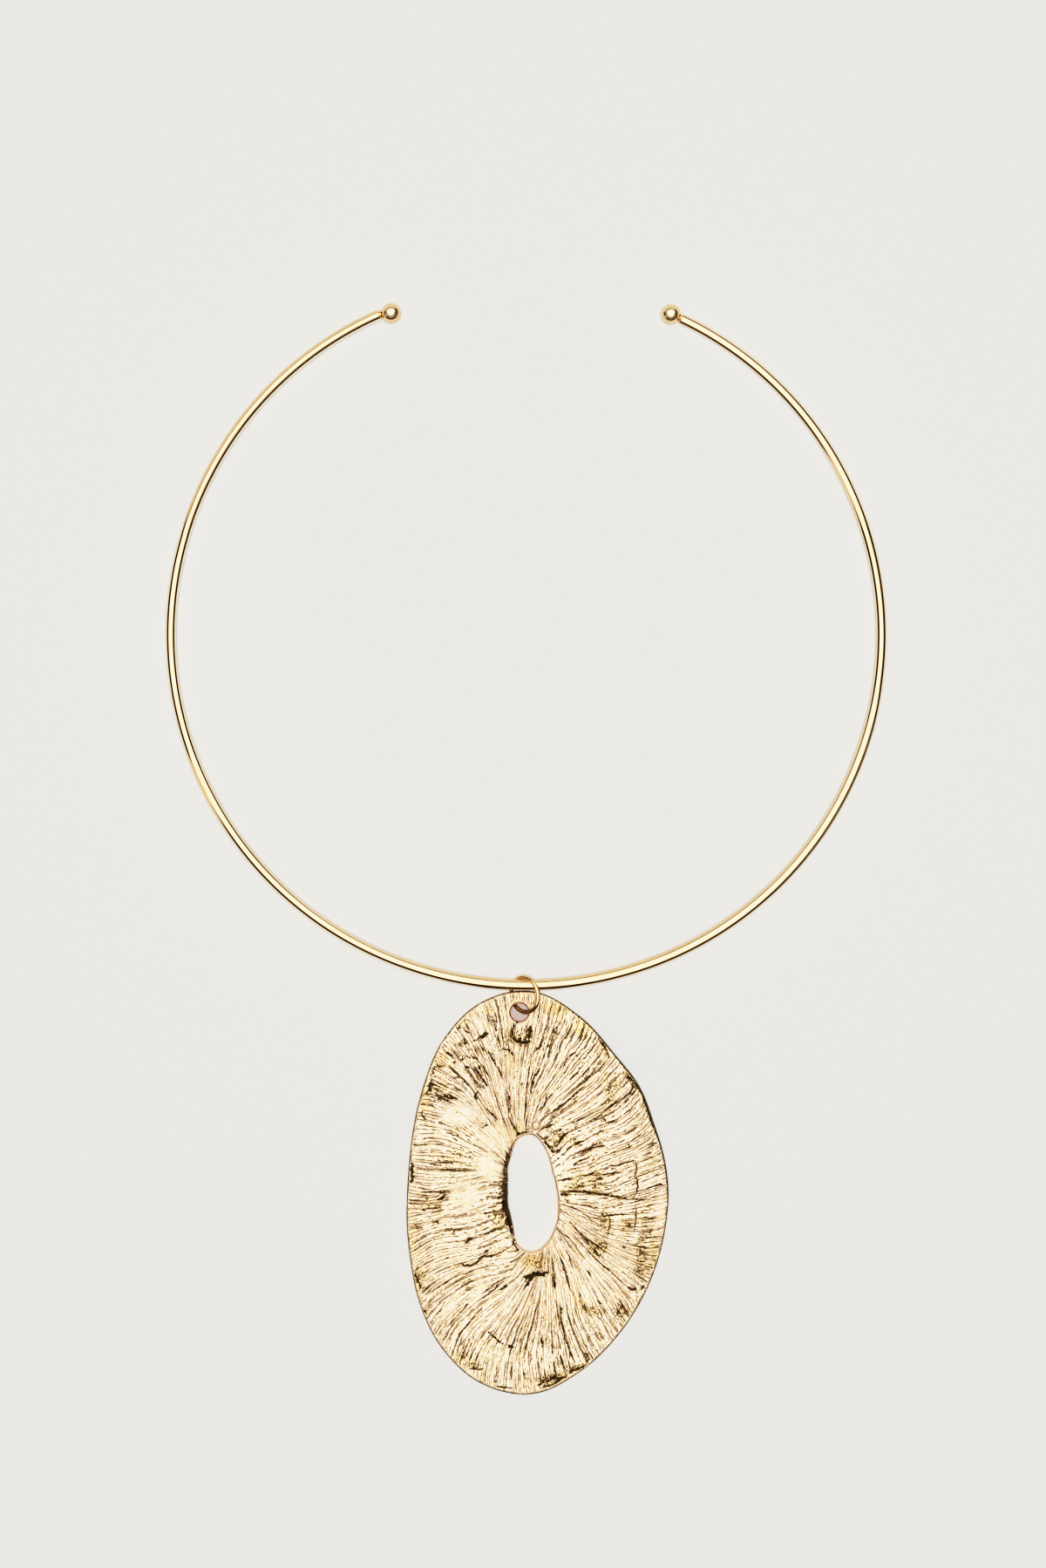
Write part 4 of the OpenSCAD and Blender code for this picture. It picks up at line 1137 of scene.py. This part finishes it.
def plate_mesh():
    """Closed plate: slot edge, face, rim and back, a loop of points per column"""
    a = even_columns()
    eased = 1 - np.cos(np.linspace(0, math.pi / 2, edge_rows + 1))
    loops = []

    def row(x, y, z):
        loops.append(np.column_stack([x, y, z]))

    def offset_row(u, inset, z):
        x, y = plate_point(a, u)
        stretch = 1 + inset / np.hypot(x, y)
        row(x * stretch, y * stretch, z)

    zero, one = np.zeros_like(a), np.ones_like(a)
    band = edge_band / (from_table(a, 0) - from_table(a, 1))
    offset_row(zero, 0, edge_h * one)
    for share in eased[:-1]:
        drop = slot_rounding * (1 - math.sqrt(1 - (1 - share) ** 2))
        row(*plate_point(a, band * share), thickness(a, band * share) - drop)
    for share in np.linspace(0, 1, plate_rows):
        u = between(band, 1 - band, share)
        row(*plate_point(a, u), thickness(a, u))
    for share in eased[:-1][::-1]:
        drop = rim_rounding * (1 - math.sqrt(1 - (1 - share) ** 2))
        row(*plate_point(a, 1 - band * share), thickness(a, 1 - band * share) - drop)
    offset_row(one, 0, edge_h * one)
    for k in range(back_rows):
        u = 1 - k / (back_rows - 1)
        offset_row(u * one, between(slot_undercut, -rim_undercut, u), 0 * one)
    points = np.concatenate(loops)
    rows = len(loops)
    column = np.arange(plate_columns)
    after = (column + 1) % plate_columns
    faces = []
    for k in range(rows):
        low, high = k * plate_columns, (k + 1) % rows * plate_columns
        faces.append(np.column_stack([low + column, low + after, high + after, high + column]))
    mesh = bpy.data.meshes.new("pendant_plate")
    mesh.from_pydata(points.tolist(), [], np.concatenate(faces).tolist())
    face_outwards(mesh)
    return mesh


def drill(mesh):
    """Cuts the ring hole, with its eased edges, through the plate"""
    far = 3.0
    profile = [(-far, 0), (-far, hole_r + far + hole_ease), (hole_ease, hole_r),
               (hole_flat_t - hole_ease, hole_r), (far + hole_flat_t, hole_r + far + hole_ease),
               (far + hole_flat_t, 0)]
    tool_mesh = turned("hole_tool", profile, (*hole_place, 0), (0, 0, 1), hole_sides)
    plate = bpy.data.objects.new("plate", mesh)
    tool = bpy.data.objects.new("hole_tool", tool_mesh)
    for thing in (plate, tool):
        scene.collection.objects.link(thing)
    cut = plate.modifiers.new("cut", "BOOLEAN")
    cut.operation = "DIFFERENCE"
    cut.solver = "EXACT"
    cut.object = tool
    depsgraph = bpy.context.evaluated_depsgraph_get()
    result = bpy.data.meshes.new_from_object(plate.evaluated_get(depsgraph))
    for thing in (plate, tool):
        bpy.data.objects.remove(thing)
    return result


def lay_out(mesh):
    """Gives each point its place on the ribs, and what relief it may have"""
    flat = np.empty(len(mesh.vertices) * 3)
    mesh.vertices.foreach_get("co", flat)
    x, y, z = flat.reshape(-1, 3).T
    a, u = rib_of(x, y)
    lie = np.column_stack([np.cos(np.radians(a)), np.sin(np.radians(a)), u])
    way = nearest_crack(x, y)
    face = ramp((z - fine_height) / fine_height_blend)
    face = face * ramp(u / fine_edge) * ramp((1 - u) / fine_edge)
    face = face * near_hole(x, y, fine_hole, fine_hole_blend)
    b = np.degrees(np.arctan2(y, x))
    # side is the painted shade over the slot's fallen left edge and along the rim
    side = np.maximum(slot_side(b, u, slot_shade_width), rim_side(b, u))
    keep(mesh, {"lie": lie, "way": way, "near": np.hypot(way[:, 0], way[:, 1]),
                "face": face, "side": side,
                "rough": patch_share(x, y, patches), "warm": patch_share(x, y, warm_patches)})


def rib_levels(tree, reach, spacing):
    """Halvings of the full turn that lie about a spacing apart at this radius:
    the coarser of the two nearest ones, and the share of the finer"""
    around = calc(tree, "MULTIPLY", calc(tree, "MAXIMUM", reach, 1.0), math.tau)
    level = calc(tree, "LOGARITHM", calc(tree, "DIVIDE", around, spacing), 2.0)
    whole = calc(tree, "FLOOR", level)
    return whole, smooth_between(tree, calc(tree, "SUBTRACT", level, whole), 0.3, 0.7)


def rib_noise(tree, lie, reach, cell, run):
    """Noise drawn out along the ribs, with cells of one width at any radius"""
    cos_a, sin_a, u = split(tree, lie)
    whole, share = rib_levels(tree, reach, calc(tree, "MULTIPLY", cell, math.tau))
    out = calc(tree, "DIVIDE", calc(tree, "MULTIPLY", u, mean_width), run)
    values = []
    for extra in (0.0, 1.0):
        cells = calc(tree, "POWER", 2.0, calc(tree, "ADD", whole, extra))
        x, y = (calc(tree, "MULTIPLY", value, cells) for value in (cos_a, sin_a))
        values.append(noise(tree, join(tree, x, y, out), 1.0, 2.0))
    return mix(tree, share, *values)


def rib_lines(tree, lie, place, reach, spacing, half_width, run, seen):
    """Lines along the ribs, about a spacing apart, each broken in its own
    places. New lines start between the old ones as the ribs fan out"""
    cos_a, sin_a, u = split(tree, lie)
    turn = calc(tree, "DIVIDE", calc(tree, "ARCTAN2", sin_a, cos_a), math.tau)
    whole, share = rib_levels(tree, reach, spacing)
    round_way = calc(tree, "MULTIPLY", reach, math.tau)
    bend = about_zero(tree, noise(tree, place, bend_cell, 1.0))
    shake = about_zero(tree, noise(tree, place, shake_cell, 2.0))
    bend, shake = calc(tree, "MULTIPLY", bend, line_bend), calc(tree, "MULTIPLY", shake, line_shake)
    sideways = calc(tree, "ADD", bend, shake)
    out = calc(tree, "DIVIDE", calc(tree, "MULTIPLY", u, mean_width), run)
    values = []
    for extra in (0.0, 1.0):
        lines = calc(tree, "POWER", 2.0, calc(tree, "ADD", whole, extra))
        gap = calc(tree, "DIVIDE", round_way, lines)
        phase = calc(tree, "MULTIPLY", turn, lines)
        phase = calc(tree, "ADD", phase, calc(tree, "DIVIDE", sideways, gap))
        number = calc(tree, "ROUND", phase)
        key = calc(tree, "FRACT", calc(tree, "DIVIDE", number, lines))
        aside = add(tree, "ShaderNodeTexWhiteNoise", {"W": key}, noise_dimensions="1D").outputs["Value"]
        aside = calc(tree, "MULTIPLY", about_zero(tree, aside), line_stray)
        off = calc(tree, "SUBTRACT", calc(tree, "SUBTRACT", phase, number), aside)
        off = calc(tree, "MULTIPLY", calc(tree, "ABSOLUTE", off), gap)
        own = join(tree, calc(tree, "MULTIPLY", key, 997.0), out, 0.0)
        strength = smooth_between(tree, noise(tree, own, 1.0, 3.0, 0.65), *seen)
        width = calc(tree, "MULTIPLY", strength, half_width)
        line = calc(tree, "DIVIDE", calc(tree, "SUBTRACT", width, off), line_softness, clamp=True)
        depth = calc(tree, "MULTIPLY_ADD", strength, 1 - faintest, faintest)
        values.append(calc(tree, "MULTIPLY", line, depth))
    return mix(tree, share, *values)


def crack_share(tree, way, near, place):
    """One inside the ragged outline of the nearest crack, zero outside it"""
    x, y, width = split(tree, way)
    feeds = {"Vector": place, "Scale": tear_cell, "Detail": 3.0, "Roughness": 0.65}
    tears = split(tree, add(tree, "ShaderNodeTexNoise", feeds).outputs["Color"])
    torn = calc(tree, "MULTIPLY_ADD", width, tear_growth, least_tear)
    torn = calc(tree, "MINIMUM", torn, most_tear)
    squares = []
    for tear, value in zip(tears, (x, y)):
        moved = calc(tree, "MULTIPLY_ADD", about_zero(tree, tear), torn, value)
        squares.append(calc(tree, "MULTIPLY", moved, moved))
    off = calc(tree, "SQRT", calc(tree, "ADD", *squares))
    width = calc(tree, "MULTIPLY", width, calc(tree, "MULTIPLY_ADD", tears[2], *crack_swell))
    inside = calc(tree, "DIVIDE", calc(tree, "SUBTRACT", width, off), crack_softness, clamp=True)
    return calc(tree, "MULTIPLY", inside, calc(tree, "LESS_THAN", near, crack_reach))


def length_of(tree, vector):
    return add(tree, "ShaderNodeVectorMath", {0: vector}, operation="LENGTH").outputs["Value"]


def relief_tree():
    """Cuts the long grooves and the cracks into the cast face, over a slight
    swell and streaks along the ribs"""
    sizes = dict.fromkeys(relief_sizes, "NodeSocketFloat")
    tree, given, output = new_tree("cast relief", {**sizes, "Material": "NodeSocketMaterial"})
    place = add(tree, "GeometryNodeInputPosition").outputs[0]
    reach = length_of(tree, place)
    lie = named(tree, "lie", "FLOAT_VECTOR")
    grooves = (given["Spacing"], given["Groove Width"], given["Run"], long_seen)
    line = rib_lines(tree, lie, place, reach, *grooves)
    crack = crack_share(tree, named(tree, "way", "FLOAT_VECTOR"), named(tree, "near"), place)
    shift = join(tree, given["Seed"], 0.0, 0.0)
    seeded = add(tree, "ShaderNodeVectorMath", {0: place, 1: shift}).outputs[0]
    swell = about_zero(tree, noise(tree, seeded, 0.5, 3.0))
    streak = about_zero(tree, rib_noise(tree, lie, reach, *broad_streak))
    sink = calc(tree, "MULTIPLY", line, given["Groove Depth"])
    for share, depth in ((crack, "Crack Depth"), (swell, "Swell"), (streak, "Streak")):
        sink = calc(tree, "MULTIPLY_ADD", share, given[depth], sink)
    sink = calc(tree, "MULTIPLY", sink, named(tree, "face"))
    offset = join(tree, 0.0, 0.0, calc(tree, "MULTIPLY", sink, -1.0))
    feeds = {"Geometry": given["Geometry"], "Offset": offset}
    moved = add(tree, "GeometryNodeSetPosition", feeds).outputs[0]
    finish_tree(tree, moved, given["Material"], output)
    return tree


def most(tree, *values):
    found = values[0]
    for value in values[1:]:
        found = calc(tree, "MAXIMUM", found, value)
    return found


def bleb_shapes(tree, place):
    """Domes of the round blebs, and the painted shade line round the foot of each"""
    x, y, z = split(tree, place)
    domes, feet = [], []
    for bleb_x, bleb_y, bleb_r in blebs:
        way = join(tree, calc(tree, "SUBTRACT", x, bleb_x), calc(tree, "SUBTRACT", y, bleb_y), 0.0)
        away = calc(tree, "DIVIDE", length_of(tree, way), bleb_r)
        dome = calc(tree, "SUBTRACT", 1.0, calc(tree, "MULTIPLY", away, away), clamp=True)
        domes.append(calc(tree, "SQRT", dome))
        foot = calc(tree, "COMPARE", away, *foot_shade_ring)
        feet.append(calc(tree, "MULTIPLY", foot, foot_shade_darkness))
    return most(tree, *domes), most(tree, *feet)


def cast_material():
    """Plated rough casting: bright on its flats, brown in its lines, cracks and pits, partly patina and
    partly painted shade, with painted shade on its edges too
    """
    material, tree, skin = gold_skin("cast_gold")
    lie = attribute(tree, "lie", "Vector")
    face, rough, side, warm = (attribute(tree, name) for name in ("face", "rough", "side", "warm"))
    place = add(tree, "ShaderNodeTexCoord").outputs["Object"]
    feeds = {0: place, 1: (*slot_place, 0)}
    from_slot = add(tree, "ShaderNodeVectorMath", feeds, operation="SUBTRACT").outputs[0]
    feeds = {0: from_slot, "Scale": 1 / mm}
    in_mm = add(tree, "ShaderNodeVectorMath", feeds, operation="SCALE").outputs[0]
    reach = length_of(tree, in_mm)

    crack = crack_share(tree, attribute(tree, "way", "Vector"), attribute(tree, "near"), in_mm)
    wide = calc(tree, "MULTIPLY_ADD", rough, long_widening, long_width)
    longer = rib_lines(tree, lie, in_mm, reach, long_spacing, wide, long_run, long_seen)
    finer, shorter = (rib_lines(tree, lie, in_mm, reach, *kind) for kind in (fine_lines, short_lines))
    streak = rib_noise(tree, lie, reach, *narrow_streak)
    kinds = (grain_noise, mottle_noise, drift_noise)
    grain, mottle, drift = (noise(tree, in_mm, *kind) for kind in kinds)
    patch = calc(tree, "MULTIPLY_ADD", about_zero(tree, drift), 2.2, rough)
    patch = smooth_between(tree, patch, 0.1, 0.9)
    pits = smooth_between(tree, calc(tree, "MULTIPLY_ADD", patch, patch_pits, grain), *pit_levels)
    # Painted shade over the slot's fallen left edge and along the rim, frayed by streaks and broken up
    # by grain
    edge_shade = calc(tree, "MULTIPLY_ADD", about_zero(tree, streak), edge_shade_fray, side)
    edge_shade = smooth_between(tree, edge_shade, *edge_shade_levels)
    broken = calc(tree, "MULTIPLY_ADD", grain, 0.5, 0.66)
    edge_shade = calc(tree, "MULTIPLY", edge_shade, broken, clamp=True)

    lines = most(tree, longer, calc(tree, "MULTIPLY", finer, fine_darkness), shorter)
    lines = calc(tree, "MULTIPLY", lines, calc(tree, "MULTIPLY_ADD", rough, 1.1, 1.0, clamp=True))
    deep = calc(tree, "MAXIMUM", lines, calc(tree, "MULTIPLY", pits, pit_darkness))
    dome, foot = bleb_shapes(tree, in_mm)
    dark = most(tree, calc(tree, "MULTIPLY", deep, face), crack, edge_shade, foot)
    off_dome = calc(tree, "SUBTRACT", 1.0, calc(tree, "MULTIPLY", dome, 3.0), clamp=True)
    dark = calc(tree, "MULTIPLY", dark, off_dome)
    brown = calc(tree, "ADD", mottle, calc(tree, "MULTIPLY", streak, 0.4))
    brown = calc(tree, "MULTIPLY_ADD", patch, patch_brown, brown)
    brown = smooth_between(tree, brown, *brown_levels)
    marks = handled_marks(tree, place, cast_gold, cast_tarnish, cast_rough, Cloudy=300.0)
    tint = blend(tree, brown, marks["Color"], cast_tarnish)
    # The dark share is partly brown patina in the hollows and partly painted shade of the crevices,
    # edges and bleb feet
    tint = blend(tree, dark, blend(tree, warm, tint, cast_warm), patina_and_painted_shade)
    tree.links.new(tint, skin.inputs["Base Color"])
    tree.links.new(mix(tree, dark, marks["Roughness"], patina_rough), skin.inputs["Roughness"])

    height = calc(tree, "MULTIPLY", grain, calc(tree, "MULTIPLY_ADD", patch, 1.2, 0.6))
    dark_lines = most(tree, deep, crack)
    for share, high in ((streak, streak_height), (dark_lines, dark_height), (dome, bleb_height)):
        height = calc(tree, "MULTIPLY_ADD", share, high, height)
    height = calc(tree, "MULTIPLY", height, calc(tree, "MULTIPLY_ADD", face, 0.85, 0.15))
    bump(tree, height, fine_depth, skin)
    return material


def pendant_place():
    """The ring lifts the plate's top, and its foot rests on the table"""
    foot = float(from_table(270, 0)) - rim_undercut
    slope = math.asin(hole_lift / (foot + hole_place[1]))
    place = Matrix.Translation((*slot_place, foot * math.sin(slope) * mm))
    return place @ Matrix.Rotation(slope, 4, "X") @ Matrix.Scale(mm, 4)


plate = drill(plate_mesh())
lay_out(plate)
mesh = run_tree("pendant_visual", plate, relief_tree(), {**relief_sizes, "Material": cast_material()})
mesh.transform(pendant_place())
add_piece("pendant_visual", mesh, "pendant")
